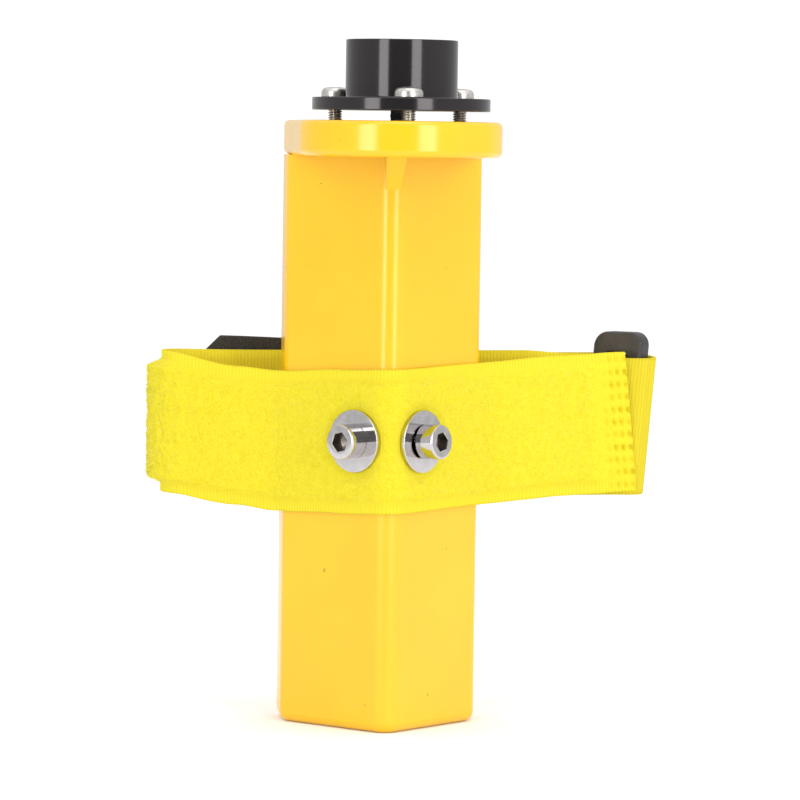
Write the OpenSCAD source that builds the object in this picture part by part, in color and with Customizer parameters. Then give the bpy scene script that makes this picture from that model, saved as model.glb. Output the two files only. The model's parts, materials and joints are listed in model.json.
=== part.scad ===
// Strap-on GNSS receiver: a V-fronted yellow housing with a D-shaped head that carries
// a flanged antenna tube on three screws, and a hook-and-loop strap bolted to the V faces.
// X is to the right, Y to the rear, Z up. The origin is the centre of the base face.

/* [Housing] */
// Width of the housing across its side faces
body_width = 57; // [54:0.5:60]
// Height of the housing from the base to the underside of the head
body_height = 165.4; // [160:0.2:175]
// Depth from the sharp line where the V faces would meet to the rear face
body_depth = 44; // [43:0.5:46]
// Rounding of the front V edge
front_radius = 5.5; // [4:0.5:7]
// Rounding of the other upright edges
corner_radius = 4.5; // [3:0.5:6]
// Rounding of the bottom edge
base_fillet = 3; // [1.5:0.5:4]
// Wall thickness of the mouldings
wall = 2.6; // [2.2:0.1:3]
// Thickness of the rear cover
cover_thickness = 2; // [1.6:0.1:2.4]
// Thickness of the sealing gaskets
gasket_thickness = 0.6; // [0.4:0.1:1]

/* [Head] */
// Height of the head above the housing
head_height = 10; // [9:0.5:12]
// How far the antenna axis stands in front of the rounded V edge
head_reach = 17.5; // [16:0.5:21]
// Rounding of the head's top edge
head_fillet = 2; // [1:0.5:2.5]
// Thickness of the shelf that closes the head from below
shelf_thickness = 2.4; // [2:0.2:3]
// Width of the gusset below the head
gusset_width = 5.8; // [5:0.1:9]
// Height and reach of the gusset
gusset_size = 9.5; // [9:0.5:15]

/* [Antenna] */
// Diameter of the antenna tube
tube_diameter = 31.4; // [30:0.2:33]
// Diameter of the flange
flange_diameter = 50; // [48.6:0.2:52]
// Thickness of the flange
flange_thickness = 3.6; // [3:0.2:4.4]
// Gap between the head and the flange
flange_gap = 2.8; // [2:0.2:4]
// Height of the tube above the flange
tube_height = 16.2; // [15:0.2:20]
// Wall thickness of the tube
tube_wall = 2; // [1.6:0.1:2.6]
// Pitch circle diameter of the flange screws
flange_pcd = 40.8; // [40.2:0.2:41]

/* [Strap] */
// Width of the strap
strap_width = 41.5; // [39:0.5:43]
// Thickness of the strap
strap_thickness = 1.2; // [1:0.1:1.4]
// Height of the strap's middle above the base
strap_height = 84.4; // [80:0.2:90]
// Distance of each strap bolt from the sharp V line, along the face
bolt_offset = 11.9; // [11.6:0.1:12.6]
// Diameter of the washers below the strap bolts
washer_diameter = 18; // [16:0.5:19]
// Thickness of those washers
washer_thickness = 1.4; // [1:0.1:1.8]

/* [Buckle ring] */
// Width of the ring
ring_width = 16.2; // [15.6:0.2:17]
// Height of the ring
ring_height = 48.6; // [48:0.2:50]
// Thickness of the ring
ring_thickness = 5.6; // [5:0.2:5.8]
// Width of the ring's slot
slot_width = 6.8; // [6.4:0.2:7]
// Height of the ring's slot
slot_height = 36.4; // [36.2:0.2:37.4]
// Turn of the ring about the upright, from facing forward
ring_turn = 36.5; // [35:0.5:38]

/* [Controls] */
// Diameter of the power button
button_diameter = 12; // [10:0.5:13]
// Travel of the power button
button_travel = 0.6; // [0.4:0.1:0.8]
// Width of the charge port's rubber plug
plug_width = 15; // [13:0.5:17]
// Height of that plug
plug_height = 8; // [7:0.5:9]

/* [Hidden] */
$fn = 64;
arc_steps = 8;
slack = 0.2;

// Housing in plan
half_width = body_width / 2;
rear_y = (body_depth - front_radius * (sqrt(2) - 1)) / 2;
sharp_y = rear_y - body_depth;
edge_y = sharp_y + front_radius * (sqrt(2) - 1);
corner_y = sharp_y + half_width;
housing_outline = [
    [0, sharp_y], [half_width, corner_y], [half_width, rear_y],
    [-half_width, rear_y], [-half_width, corner_y]
];
housing_radii = [front_radius, corner_radius, 1.5, 1.5, corner_radius];
floor_thickness = 3;
ledge_width = 3;
window_half = half_width - wall - ledge_width;
window_low = floor_thickness + ledge_width;
window_high = body_height - 5;
cover_gap = 0.25;
cover_y = rear_y - cover_thickness;
ledge_y = cover_y - gasket_thickness;

// Head
head_axis_y = edge_y - head_reach;
head_low = body_height;
head_high = body_height + head_height;
head_radius = half_width;
head_ceiling = head_high - wall;
shelf_high = head_low + shelf_thickness;
head_screw_places = [[-18, head_axis_y - 12], [18, head_axis_y - 12], [-20, -19], [20, -19]];

// Antenna
flange_low = head_high + flange_gap;
flange_high = flange_low + flange_thickness;
tube_high = flange_high + tube_height;
tube_inner = tube_diameter / 2 - tube_wall;
floor_high = flange_low + 2;
cap_thickness = 1.8;
cap_recess = 0.6;
lead_radius = 1;
lead_bend = 3.4;
lead_level = head_ceiling - lead_bend;
lead_drop_y = 2;
lead_low = 150;
grommet_radius = 3.1;
insert_length = 6;
insert_radius = 2.9;
m4_radius = 2;
m4_hole = 2.15;
m4_length = 10;

// Strap bolts
m6_radius = 2.95;
m6_bore = 3;
m6_length = 10;
m6_head_radius = 5;
m6_head_height = 6;
m6_insert_radius = 4;
m6_insert_length = 7;
m6_boss_radius = 6;
m6_boss_length = 9;
right_bolt_lift = 0.5;
bolt_x = bolt_offset / sqrt(2);
bolt_y = sharp_y + bolt_x;
bolt_z = 83.8;

// Rear screws and board
cover_screw_places = [for (z = [12, 88, 157.5], side = [-1, 1]) [side * 23.2, z]];
screw_bore = 1.45;
screw_clearance = 1.7;
sink_radius = 2.9;
sink_depth = 1.2;
board_width = 39;
board_low = 8;
board_high = 158;
board_thickness = 1.6;
board_y = ledge_y - 3.4;
board_screw_places = [for (z = [82, 154], side = [-1, 1]) [side * 16, z]];
cell_radius = 9.2;
cell_length = 65;
cell_x = 9.6;
cell_y = 4.4;
cell_low = 9;

// Controls
button_place = [-12, 5];
light_place = [12, 5];
port_place = [12, 140];
stem_low = head_low - 4.2;

// Buckle ring in plan
ring_centre = [74.5, 31];
ring_low = 65.2;
ring_along = [cos(ring_turn), -sin(ring_turn)];
ring_out = [-sin(ring_turn), -cos(ring_turn)];
bar_width = (ring_width - slot_width) / 2;
bar_offset = (ring_width - bar_width) / 2;
left_bar = ring_centre - bar_offset * ring_along;
right_bar = ring_centre + bar_offset * ring_along;

// Strap in plan
strap_low = strap_height - strap_width / 2;
narrow_low = 71.9;
narrow_width = 35.2;
apex_y = sharp_y - strap_thickness / 2 * sqrt(2);
apex_radius = front_radius + strap_thickness / 2;
leave_x = half_width + 1.3;
leave_y = apex_y + leave_x;
tail_pivot = [69.7, 39.6];
wrap_radius = 5.2;
tab_wrap_radius = 4.4;
tab_low = 65.6;
tab_width = 40.7;

// ---- Outline helpers ----
function unit(v) = v / norm(v);

// Arc that rounds the corner at p between its neighbours a and b
function corner_arc(a, p, b, r, steps) =
    let(
        u = unit(a - p), w = unit(b - p),
        half = acos(u * w) / 2,
        start = p + u * r / tan(half),
        finish = p + w * r / tan(half),
        centre = p + unit(u + w) * r / sin(half),
        from = atan2(start.y - centre.y, start.x - centre.x),
        to = atan2(finish.y - centre.y, finish.x - centre.x),
        sweep = (to - from + 900) % 360 - 180
    )
    [for (i = [0:steps]) centre + r * [cos(from + sweep * i / steps), sin(from + sweep * i / steps)]];

function rounded(points, radii, steps = arc_steps) =
    let(n = len(points))
    [for (i = [0:n - 1]) each
        corner_arc(points[(i + n - 1) % n], points[i], points[(i + 1) % n], radii[i], steps)];

function rounded_path(points, radii, steps = arc_steps) =
    let(n = len(points))
    concat(
        [points[0]],
        [for (i = [1:n - 2]) each corner_arc(points[i - 1], points[i], points[i + 1], radii[i], steps)],
        [points[n - 1]]
    );

function arc_path(centre, r, from, to, steps) =
    [for (i = [0:steps]) let(a = from + (to - from) * i / steps) centre + r * [cos(a), sin(a)]];

function side_normal(path, i) =
    let(
        n = len(path),
        ahead = path[min(i + 1, n - 1)] - path[min(i, n - 2)],
        behind = path[max(i, 1)] - path[max(i - 1, 0)],
        mean = unit(unit(ahead) + unit(behind)),
        stretch = 1 / max(0.5, mean * unit(ahead))
    )
    [-mean.y, mean.x] * stretch;

function side_line(path, d) = [for (i = [0:len(path) - 1]) path[i] + d * side_normal(path, i)];

function backwards(list) = [for (i = [len(list) - 1:-1:0]) list[i]];

module ribbon(path, thickness, low, width) {
    translate([0, 0, low])
        linear_extrude(height = width)
            polygon(concat(side_line(path, thickness / 2), backwards(side_line(path, -thickness / 2))));
}

// Shrinks the housing outline by an even margin
function inset_outline(d) = [
    [0, sharp_y + d * sqrt(2)],
    [half_width - d, corner_y + d * (sqrt(2) - 1)],
    [half_width - d, rear_y - d],
    [-half_width + d, rear_y - d],
    [-half_width + d, corner_y + d * (sqrt(2) - 1)]
];

function inset_radii(d) = [for (r = housing_radii) max(0.5, r - d)];

module housing_plan(d = 0) {
    polygon(rounded(inset_outline(d), inset_radii(d)));
}

module head_plan(d = 0) {
    translate([0, head_axis_y])
        circle(r = head_radius - d, $fn = 96);
    translate([-head_radius + d, head_axis_y])
        square([2 * (head_radius - d), rear_y - d - head_axis_y]);
}

// Turns children's +Z so that it points out of one V face, at that face's bolt
module at_bolt(side) {
    translate([side * bolt_x, bolt_y, bolt_z])
        rotate([0, 0, side * 45])
            rotate([90, 0, 0])
                children();
}

// Turns children's +Z towards the rear
module rearward(place, y) {
    translate([place.x, y, place.y])
        rotate([-90, 0, 0])
            children();
}

module at_flange_screws() {
    translate([0, head_axis_y, 0])
        for (i = [0:2])
            rotate([0, 0, 120 * i - 90])
                translate([flange_pcd / 2, 0, 0])
                    children();
}

module tube_between(outer, inner, low, high) {
    translate([0, 0, low])
        difference() {
            cylinder(r = outer, h = high - low);
            translate([0, 0, -1])
                cylinder(r = inner, h = high - low + 2);
        }
}

// ---- Housing ----
module housing_outside() {
    translate([0, 0, base_fillet])
        linear_extrude(height = body_height - base_fillet)
            housing_plan();
    hull()
        for (a = [0:22.5:90])
            translate([0, 0, base_fillet * (1 - sin(a))])
                linear_extrude(height = 0.01)
                    housing_plan(base_fillet * (1 - cos(a)));
}

// Inside of the walls, up to the ledge that the rear cover seals on
module cavity_plan() {
    intersection() {
        housing_plan(wall);
        translate([-half_width, sharp_y])
            square([body_width, ledge_y - wall - sharp_y]);
    }
}

module gusset() {
    foot = gusset_size + 3;
    translate([0, edge_y + 3, head_low])
        rotate([90, 0, -90])
            translate([0, 0, -gusset_width / 2])
                linear_extrude(height = gusset_width)
                    polygon([[0, 0], [foot, 0], [0, -foot]]);
}

module housing() {
    color("gold")
        difference() {
            union() {
                difference() {
                    housing_outside();
                    translate([0, 0, floor_thickness])
                        linear_extrude(height = body_height)
                            cavity_plan();
                    // Window behind the ledge
                    translate([-window_half, ledge_y - 5, window_low])
                        cube([2 * window_half, 20, window_high - window_low]);
                    // Recess that the rear cover sits in
                    translate([-half_width + wall, ledge_y, floor_thickness])
                        cube([body_width - 2 * wall, 20, window_high + ledge_width - floor_thickness]);
                }
                for (side = [-1, 1])
                    at_bolt(side)
                        translate([0, 0, -m6_boss_length])
                            cylinder(r = m6_boss_radius, h = m6_boss_length - 1);
                for (place = cover_screw_places)
                    rearward(place, ledge_y - 9)
                        cylinder(r = 3, h = 9);
                difference() {
                    translate([0, 0, head_low])
                        linear_extrude(height = shelf_thickness)
                            head_plan(wall - 0.2);
                    translate([0, 0, head_low - 1])
                        linear_extrude(height = shelf_thickness + 2)
                            cavity_plan();
                }
                gusset();
            }
            for (side = [-1, 1])
                at_bolt(side)
                    translate([0, 0, -m6_boss_length + 1])
                        cylinder(r = m6_insert_radius, h = m6_boss_length);
            for (place = cover_screw_places)
                rearward(place, ledge_y - 7)
                    cylinder(r = screw_bore, h = 12);
            for (place = head_screw_places)
                translate([place.x, place.y, head_low]) {
                    translate([0, 0, -1])
                        cylinder(r = screw_clearance, h = 10);
                    translate([0, 0, -0.01])
                        cylinder(r1 = sink_radius + slack, r2 = screw_clearance, h = sink_depth);
                }
        }
}

module rear_cover() {
    cover_high = window_high + ledge_width;
    color("gold")
        difference() {
            union() {
                translate([-half_width + wall + cover_gap, cover_y, floor_thickness + cover_gap])
                    cube([body_width - 2 * (wall + cover_gap), cover_thickness,
                          cover_high - floor_thickness - 2 * cover_gap]);
                for (place = board_screw_places)
                    rearward(place, board_y + board_thickness)
                        cylinder(r = 3, h = cover_y - board_y - board_thickness + 0.5);
                // Collar around the charge port
                translate([port_place.x - 7, ledge_y - 1.8, port_place.y - 4])
                    cube([14, cover_y - ledge_y + 2.3, 8]);
            }
            for (place = cover_screw_places) {
                rearward(place, cover_y - 1)
                    cylinder(r = screw_clearance, h = 10);
                rearward(place, rear_y - sink_depth)
                    cylinder(r1 = screw_clearance, r2 = sink_radius + slack, h = sink_depth + 0.01);
            }
            for (place = board_screw_places)
                rearward(place, board_y)
                    cylinder(r = 1, h = 5);
            // Recess and hole for the rubber plug
            translate([port_place.x - plug_width / 2 - slack, rear_y - 1.4, port_place.y - plug_height / 2 - slack])
                cube([plug_width + 2 * slack, 5, plug_height + 2 * slack]);
            translate([port_place.x - 5, ledge_y - 5, port_place.y - 2])
                cube([10, 20, 4]);
        }
}

module rear_gasket() {
    color("dimgray")
        difference() {
            translate([-half_width + wall + cover_gap, ledge_y, floor_thickness + cover_gap])
                cube([body_width - 2 * (wall + cover_gap), gasket_thickness,
                      window_high + ledge_width - floor_thickness - 2 * cover_gap]);
            translate([-window_half, ledge_y - 1, window_low])
                cube([2 * window_half, 3, window_high - window_low]);
            for (place = cover_screw_places)
                rearward(place, ledge_y - 1)
                    cylinder(r = 3, h = 3);
        }
}

// Countersunk cross-head screw whose head is flush at the origin and whose point is towards -Z
module sunk_screw(length) {
    difference() {
        union() {
            translate([0, 0, -length])
                cylinder(r = screw_bore, h = length - sink_depth / 2);
            translate([0, 0, -sink_depth])
                cylinder(r1 = screw_bore, r2 = sink_radius, h = sink_depth);
        }
        for (turn = [0, 90])
            rotate([0, 0, turn])
                translate([-1.5, -0.3, -0.7])
                    cube([3, 0.6, 2]);
    }
}

module rear_screws() {
    color("silver")
        for (place = cover_screw_places)
            rearward(place, rear_y)
                sunk_screw(rear_y - ledge_y + 5);
}

// ---- Head ----
module head_outside() {
    steps = [0, 30, 60, 90];
    translate([0, 0, head_low])
        linear_extrude(height = head_height - head_fillet)
            head_plan();
    hull()
        for (a = steps)
            translate([0, 0, head_high - head_fillet * (1 - sin(a)) - 0.01])
                linear_extrude(height = 0.01)
                    head_plan(head_fillet * (1 - cos(a)));
}

module head_cover() {
    color("gold")
        difference() {
            union() {
                difference() {
                    head_outside();
                    translate([0, 0, head_low - 1])
                        linear_extrude(height = shelf_thickness + 1)
                            head_plan(wall - 0.3);
                    translate([0, 0, shelf_high - 0.5])
                        linear_extrude(height = head_ceiling - shelf_high + 0.5)
                            head_plan(wall);
                }
                for (place = head_screw_places)
                    translate([place.x, place.y, shelf_high])
                        cylinder(r = 3, h = head_ceiling - shelf_high + 0.5);
                at_flange_screws()
                    translate([0, 0, shelf_high + 0.3])
                        cylinder(r = 4.2, h = head_ceiling - shelf_high + 0.2);
            }
            for (place = head_screw_places)
                translate([place.x, place.y, head_low])
                    cylinder(r = screw_bore, h = 6.4);
            at_flange_screws()
                translate([0, 0, head_high - insert_length])
                    cylinder(r = insert_radius, h = insert_length + 1);
            translate([0, head_axis_y, head_ceiling - 1])
                cylinder(r = 2.4, h = wall + 2);
            translate([button_place.x, button_place.y, head_ceiling - 1])
                cylinder(r = 2.2, h = wall + 2);
            translate([button_place.x, button_place.y, head_high - 1.8])
                cylinder(r = button_diameter / 2 + slack, h = 3);
            translate([light_place.x, light_place.y, head_ceiling - 1])
                cylinder(r = 2, h = wall + 2);
        }
}

module head_gasket() {
    color("dimgray")
        translate([0, 0, shelf_high])
            linear_extrude(height = gasket_thickness)
                difference() {
                    head_plan(wall + 0.1);
                    head_plan(wall + 1.2);
                }
}

module head_screws() {
    color("silver")
        for (place = head_screw_places)
            translate([place.x, place.y, head_low])
                mirror([0, 0, 1])
                    sunk_screw(6);
}

// ---- Antenna ----
module antenna_tube() {
    color("#1d1c1d")
        difference() {
            union() {
                translate([0, head_axis_y, 0])
                    tube_between(tube_diameter / 2, tube_inner, flange_low, tube_high);
                translate([0, head_axis_y, flange_low])
                    cylinder(r = flange_diameter / 2, h = flange_thickness, $fn = 128);
            }
            translate([0, head_axis_y, floor_high])
                cylinder(r = tube_inner, h = tube_height + 10);
            translate([0, head_axis_y, tube_high - cap_recess - cap_thickness])
                cylinder(r = tube_inner + 0.8, h = tube_height);
            translate([0, head_axis_y, flange_low - 1])
                cylinder(r = 1.3, h = 10);
            at_flange_screws()
                translate([0, 0, flange_low - 1])
                    cylinder(r = m4_hole, h = flange_thickness + 2);
        }
}

module antenna_cap() {
    color("#232324")
        translate([0, head_axis_y, tube_high - cap_recess - cap_thickness])
            cylinder(r = tube_inner + 0.75, h = cap_thickness);
}

module antenna_seal() {
    seal_radius = 0.6;
    color("#111111")
        translate([0, head_axis_y, tube_high - cap_recess - cap_thickness - seal_radius])
            rotate_extrude()
                translate([tube_inner - seal_radius - 0.05, 0])
                    circle(r = seal_radius, $fn = 24);
}

module antenna_element() {
    color("wheat")
        translate([0, head_axis_y, floor_high + 3.6])
            difference() {
                cylinder(r = 11, h = 5);
                translate([0, 0, -1])
                    cylinder(r = 0.8, h = 8);
            }
}

module antenna_board() {
    color("darkgreen")
        translate([0, head_axis_y, floor_high + 2])
            difference() {
                cylinder(r = tube_inner - 0.3, h = board_thickness);
                translate([0, 0, -1])
                    cylinder(r = 1.1, h = 4);
            }
}

module antenna_screws() {
    head_rise = 3;
    color("silver")
        at_flange_screws()
            difference() {
                union() {
                    translate([0, 0, flange_high - m4_length])
                        cylinder(r = m4_radius, h = m4_length + 0.5);
                    translate([0, 0, flange_high])
                        cylinder(r = 4, h = 1.6);
                    translate([0, 0, flange_high + 1.6])
                        cylinder(r1 = 4, r2 = 2.6, h = head_rise - 1.6, $fn = 48);
                }
                for (turn = [20, 110])
                    translate([0, 0, flange_high + head_rise - 1.6])
                        rotate([0, 0, turn])
                            translate([-2, -0.45, 0])
                                cube([4, 0.9, 3]);
            }
}

module antenna_inserts() {
    color("goldenrod")
        at_flange_screws()
            tube_between(insert_radius, m4_radius + 0.05, head_high - insert_length, head_high);
}

module cable_grommet() {
    bore = lead_radius + 0.05;
    color("#151515")
        translate([0, head_axis_y, 0])
            rotate_extrude()
                difference() {
                    union() {
                        translate([bore, head_ceiling])
                            square([2.3 - lead_radius, wall]);
                        translate([bore, head_high])
                            square([grommet_radius - 1.2, flange_gap]);
                        translate([grommet_radius - flange_gap / 2, head_high + flange_gap / 2])
                            circle(r = flange_gap / 2, $fn = 32);
                    }
                    translate([bore - 5, 0])
                        square([5, head_high + 10]);
                }
}

// Straight run, bend, run to the rear, bend and drop to the board
module antenna_lead() {
    color("#2b2b2b") {
        translate([0, head_axis_y, lead_level + lead_bend])
            cylinder(r = lead_radius, h = floor_high + 1.9 - lead_level - lead_bend, $fn = 24);
        translate([0, head_axis_y + lead_bend, lead_level + lead_bend])
            rotate([0, 90, 0])
                rotate([0, 0, -90])
                    rotate_extrude(angle = 90)
                        translate([lead_bend, 0])
                            circle(r = lead_radius, $fn = 24);
        translate([0, head_axis_y + lead_bend, lead_level])
            rotate([-90, 0, 0])
                cylinder(r = lead_radius, h = lead_drop_y - head_axis_y - 2 * lead_bend, $fn = 24);
        translate([0, lead_drop_y - lead_bend, lead_level - lead_bend])
            rotate([0, 90, 0])
                rotate([0, 0, 90])
                    rotate_extrude(angle = 90)
                        translate([lead_bend, 0])
                            circle(r = lead_radius, $fn = 24);
        translate([0, lead_drop_y, lead_low])
            cylinder(r = lead_radius, h = lead_level - lead_bend - lead_low, $fn = 24);
    }
}

module lead_connector() {
    color("goldenrod") {
        translate([0, lead_drop_y, lead_low - 6])
            cylinder(r = 1.8, h = 6);
        translate([0, lead_drop_y, lead_low - 4])
            rotate([-90, 0, 0])
                cylinder(r = 2.2, h = board_y - lead_drop_y);
    }
}

// ---- Electronics ----
module receiver_board() {
    color("darkgreen")
        difference() {
            translate([-board_width / 2, board_y, board_low])
                cube([board_width, board_thickness, board_high - board_low]);
            for (place = board_screw_places)
                rearward(place, board_y - 1)
                    cylinder(r = 1.2, h = 4);
        }
}

module board_screws() {
    color("silver")
        for (place = board_screw_places) {
            rearward(place, board_y)
                cylinder(r = 1, h = 4);
            rearward(place, board_y - 1.4)
                cylinder(r = 2, h = 1.4);
        }
}

module gnss_module() {
    color("silver")
        translate([-9, board_y - 3, 112])
            cube([18, 3, 24]);
}

module radio_module() {
    color("lightgray")
        translate([-12, board_y - 2.6, 84])
            cube([24, 2.6, 20]);
}

module board_parts() {
    color("dimgray") {
        for (i = [0:3])
            translate([-15 + 9 * i, board_y - 2, 106])
                cube([3, 2, 4]);
        translate([-17, board_y - 4, 116])
            cube([6, 4, 8]);
        translate([11, board_y - 5.5, 112])
            cube([6, 5.5, 12]);
    }
}

module battery_cells() {
    color("steelblue")
        for (side = [-1, 1])
            translate([side * cell_x, cell_y, cell_low])
                cylinder(r = cell_radius, h = cell_length);
}

module battery_holder() {
    color("#202020")
        intersection() {
            translate([0, 0, floor_thickness])
                linear_extrude(height = 80)
                    housing_plan(wall + 0.4);
            difference() {
                translate([-19.2, -6, floor_thickness + 2])
                    cube([38.4, 18.6, cell_length + 7.4]);
                for (side = [-1, 1])
                    translate([side * cell_x, cell_y, cell_low - 1.8])
                        cylinder(r = cell_radius + 0.15, h = cell_length + 3.6);
                translate([-25, -10, cell_low + 6])
                    cube([50, 25, cell_length - 12]);
            }
        }
    color("#202020")
        translate([-3, board_y - 1.9, floor_thickness + 2])
            cube([6, 1.9, cell_length + 7.4]);
}

module battery_contacts() {
    color("silver")
        for (side = [-1, 1])
            for (z = [cell_low - 1.7, cell_low + cell_length])
                translate([side * cell_x, cell_y, z])
                    cylinder(r = 3.5, h = 1.7);
}

module charge_port() {
    color("silver")
        difference() {
            translate([port_place.x - 4.5, board_y + board_thickness, port_place.y - 1.6])
                cube([9, ledge_y - board_y - board_thickness + 0.6, 3.2]);
            translate([port_place.x - 4.1, board_y + board_thickness + 1, port_place.y - 1.2])
                cube([8.2, 20, 2.4]);
        }
}

module port_plug() {
    color("#1a1a1a") {
        translate([port_place.x - plug_width / 2, rear_y - 1.35, port_place.y - plug_height / 2])
            cube([plug_width, 1.35, plug_height]);
        translate([port_place.x - 3.6, board_y + board_thickness + 1.4, port_place.y - 1])
            cube([7.2, rear_y - board_y - board_thickness - 2.7, 2]);
    }
}

module button_switch() {
    color("silver") {
        translate([button_place.x - 3, 2.4, stem_low - button_travel - 5])
            cube([6, board_y - 2.4, 4]);
        translate([button_place.x, button_place.y, stem_low - button_travel - 1.1])
            cylinder(r = 1.4, h = 1);
    }
}

module power_button() {
    color("#222222")
        translate([button_place.x, button_place.y, 0]) {
            translate([0, 0, head_high - 0.9])
                cylinder(r = button_diameter / 2, h = 0.8);
            translate([0, 0, stem_low])
                cylinder(r = 1.6, h = head_high - 0.5 - stem_low);
        }
}

module button_seal() {
    color("#333333")
        translate([button_place.x, button_place.y, 0])
            tube_between(2.2, 1.65, head_ceiling, head_ceiling + 0.7);
}

module status_light() {
    color("#e8f4ff")
        translate([light_place.x, light_place.y, stem_low])
            cylinder(r = 1.95, h = head_high - stem_low - 0.05);
}

// ---- Strap ----
strap_points = [
    [73.9, 21], [60, 18], [46, 12], [leave_x, leave_y], [0, apex_y], [-leave_x, leave_y],
    [-46, 11.4], [-62.3, 13.4], [-63.1, 33.6], [20, 31.2], [60, 29.2]
];
strap_radii = [0, 30, 30, 8, apex_radius, 8, 30, 8, 8, 60, 0];

module strap() {
    approach = concat(
        [[59.9, 29.2]],
        arc_path(left_bar, wrap_radius, -118, 84, 20)
    );
    color("yellow")
        difference() {
            union() {
                ribbon(rounded_path(strap_points, strap_radii, 10), strap_thickness, strap_low, strap_width);
                ribbon(approach, strap_thickness, narrow_low, narrow_width);
            }
            for (side = [-1, 1])
                at_bolt(side)
                    translate([0, 0, -0.5])
                        cylinder(r = 3.2, h = 3);
        }
}

module ring_tab() {
    color("khaki") {
        ribbon(concat([[61.5, 20.05], [76.6, 23.6]], arc_path(right_bar, tab_wrap_radius, -96, 30, 10)),
               strap_thickness, tab_low, tab_width);
        ribbon(concat(arc_path(right_bar, tab_wrap_radius, 28, 172, 12), [[72.6, 25.6], [62.5, 22.2]]),
               strap_thickness, narrow_low, narrow_width);
    }
}

module buckle_ring() {
    bar_rounding = 1.5;
    module frame_outline(w, h, r) {
        polygon(rounded([[-w / 2, 0], [w / 2, 0], [w / 2, h], [-w / 2, h]], [r, r, r, r]));
    }
    slot_low = (ring_height - slot_height) / 2;
    color("#1b1b1d")
        translate([ring_centre.x, ring_centre.y, ring_low])
            rotate([0, 0, -ring_turn])
                intersection() {
                    rotate([90, 0, 0])
                        translate([0, 0, -ring_thickness / 2])
                            linear_extrude(height = ring_thickness)
                                difference() {
                                    frame_outline(ring_width, ring_height, 4);
                                    translate([0, slot_low])
                                        frame_outline(slot_width, slot_height, 1);
                                }
                    linear_extrude(height = ring_height)
                        polygon(rounded([
                            [-ring_width / 2, -ring_thickness / 2], [ring_width / 2, -ring_thickness / 2],
                            [ring_width / 2, ring_thickness / 2], [-ring_width / 2, ring_thickness / 2]
                        ], [bar_rounding, bar_rounding, bar_rounding, bar_rounding]));
                }
}

tail_joint_x = tail_pivot.x - 0.2;
tail_end_x = -50;
hook_start_x = 22;

module strap_tail() {
    color("yellow")
        ribbon(rounded_path([[tail_joint_x, tail_pivot.y], [50, 36.6], [8, 36.6]], [0, 30, 0]),
               strap_thickness, narrow_low, narrow_width);
}

module hook_tape() {
    width = 38;
    cut = 4.5;
    color("#191819")
        difference() {
            ribbon([[hook_start_x, 35.4], [8, 35.4], [-20, 36], [tail_end_x, 37.4]],
                   strap_thickness, narrow_low, width);
            translate([tail_end_x, 0, narrow_low + width])
                rotate([0, 45, 0])
                    cube([2 * cut, 100, 2 * cut], center = true);
        }
}

module strap_bolts() {
    seat = strap_thickness + washer_thickness;
    color("silver")
        for (side = [-1, 1])
            at_bolt(side)
                translate([0, 0, seat + (side > 0 ? right_bolt_lift : 0)])
                    difference() {
                        union() {
                            translate([0, 0, -m6_length])
                                cylinder(r = m6_radius, h = m6_length + 1);
                            cylinder(r = m6_head_radius, h = m6_head_height);
                        }
                        translate([0, 0, m6_head_height - 3])
                            cylinder(r = 5 / sqrt(3), h = 4, $fn = 6);
                    }
}

module strap_washers() {
    color("silver")
        for (side = [-1, 1])
            at_bolt(side)
                tube_between(washer_diameter / 2, 3.2, strap_thickness, strap_thickness + washer_thickness);
}

module strap_inserts() {
    color("goldenrod")
        for (side = [-1, 1])
            at_bolt(side)
                tube_between(m6_insert_radius, m6_bore, -m6_insert_length - 0.5, -0.5);
}

housing();
rear_cover();
rear_gasket();
rear_screws();
head_cover();
head_gasket();
head_screws();
antenna_tube();
antenna_cap();
antenna_seal();
antenna_element();
antenna_board();
antenna_screws();
antenna_inserts();
cable_grommet();
antenna_lead();
lead_connector();
receiver_board();
board_screws();
gnss_module();
radio_module();
board_parts();
battery_cells();
battery_holder();
battery_contacts();
charge_port();
port_plug();
button_switch();
power_button();
button_seal();
status_light();
strap();
ring_tab();
buckle_ring();
strap_tail();
hook_tape();
strap_bolts();
strap_washers();
strap_inserts();
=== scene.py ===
import json
import math
import random

import bpy
from mathutils import Matrix, Vector, noise


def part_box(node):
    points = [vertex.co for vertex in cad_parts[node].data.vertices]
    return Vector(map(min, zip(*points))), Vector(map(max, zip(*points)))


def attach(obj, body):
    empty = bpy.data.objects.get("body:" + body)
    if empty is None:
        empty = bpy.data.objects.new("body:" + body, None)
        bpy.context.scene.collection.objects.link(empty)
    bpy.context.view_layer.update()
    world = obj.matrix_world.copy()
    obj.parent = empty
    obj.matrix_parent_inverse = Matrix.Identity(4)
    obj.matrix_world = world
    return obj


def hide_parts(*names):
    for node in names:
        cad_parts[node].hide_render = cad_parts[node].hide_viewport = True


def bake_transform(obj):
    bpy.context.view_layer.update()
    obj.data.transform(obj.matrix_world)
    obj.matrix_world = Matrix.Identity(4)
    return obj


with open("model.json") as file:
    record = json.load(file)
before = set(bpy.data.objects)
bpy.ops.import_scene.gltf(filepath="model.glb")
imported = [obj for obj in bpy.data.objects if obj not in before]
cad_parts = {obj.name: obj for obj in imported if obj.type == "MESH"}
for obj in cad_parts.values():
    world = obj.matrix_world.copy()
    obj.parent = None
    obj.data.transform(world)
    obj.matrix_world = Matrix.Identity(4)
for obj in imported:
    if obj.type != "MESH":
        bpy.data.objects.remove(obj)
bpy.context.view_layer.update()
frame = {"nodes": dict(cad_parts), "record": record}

print("frame loaded,", len(frame["nodes"]), "nodes")

# Everything below is in millimetres, and becomes metres when a mesh is made
mm = 0.001


def boxOf(node):
    low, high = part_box(node)
    return low / mm, high / mm


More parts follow.
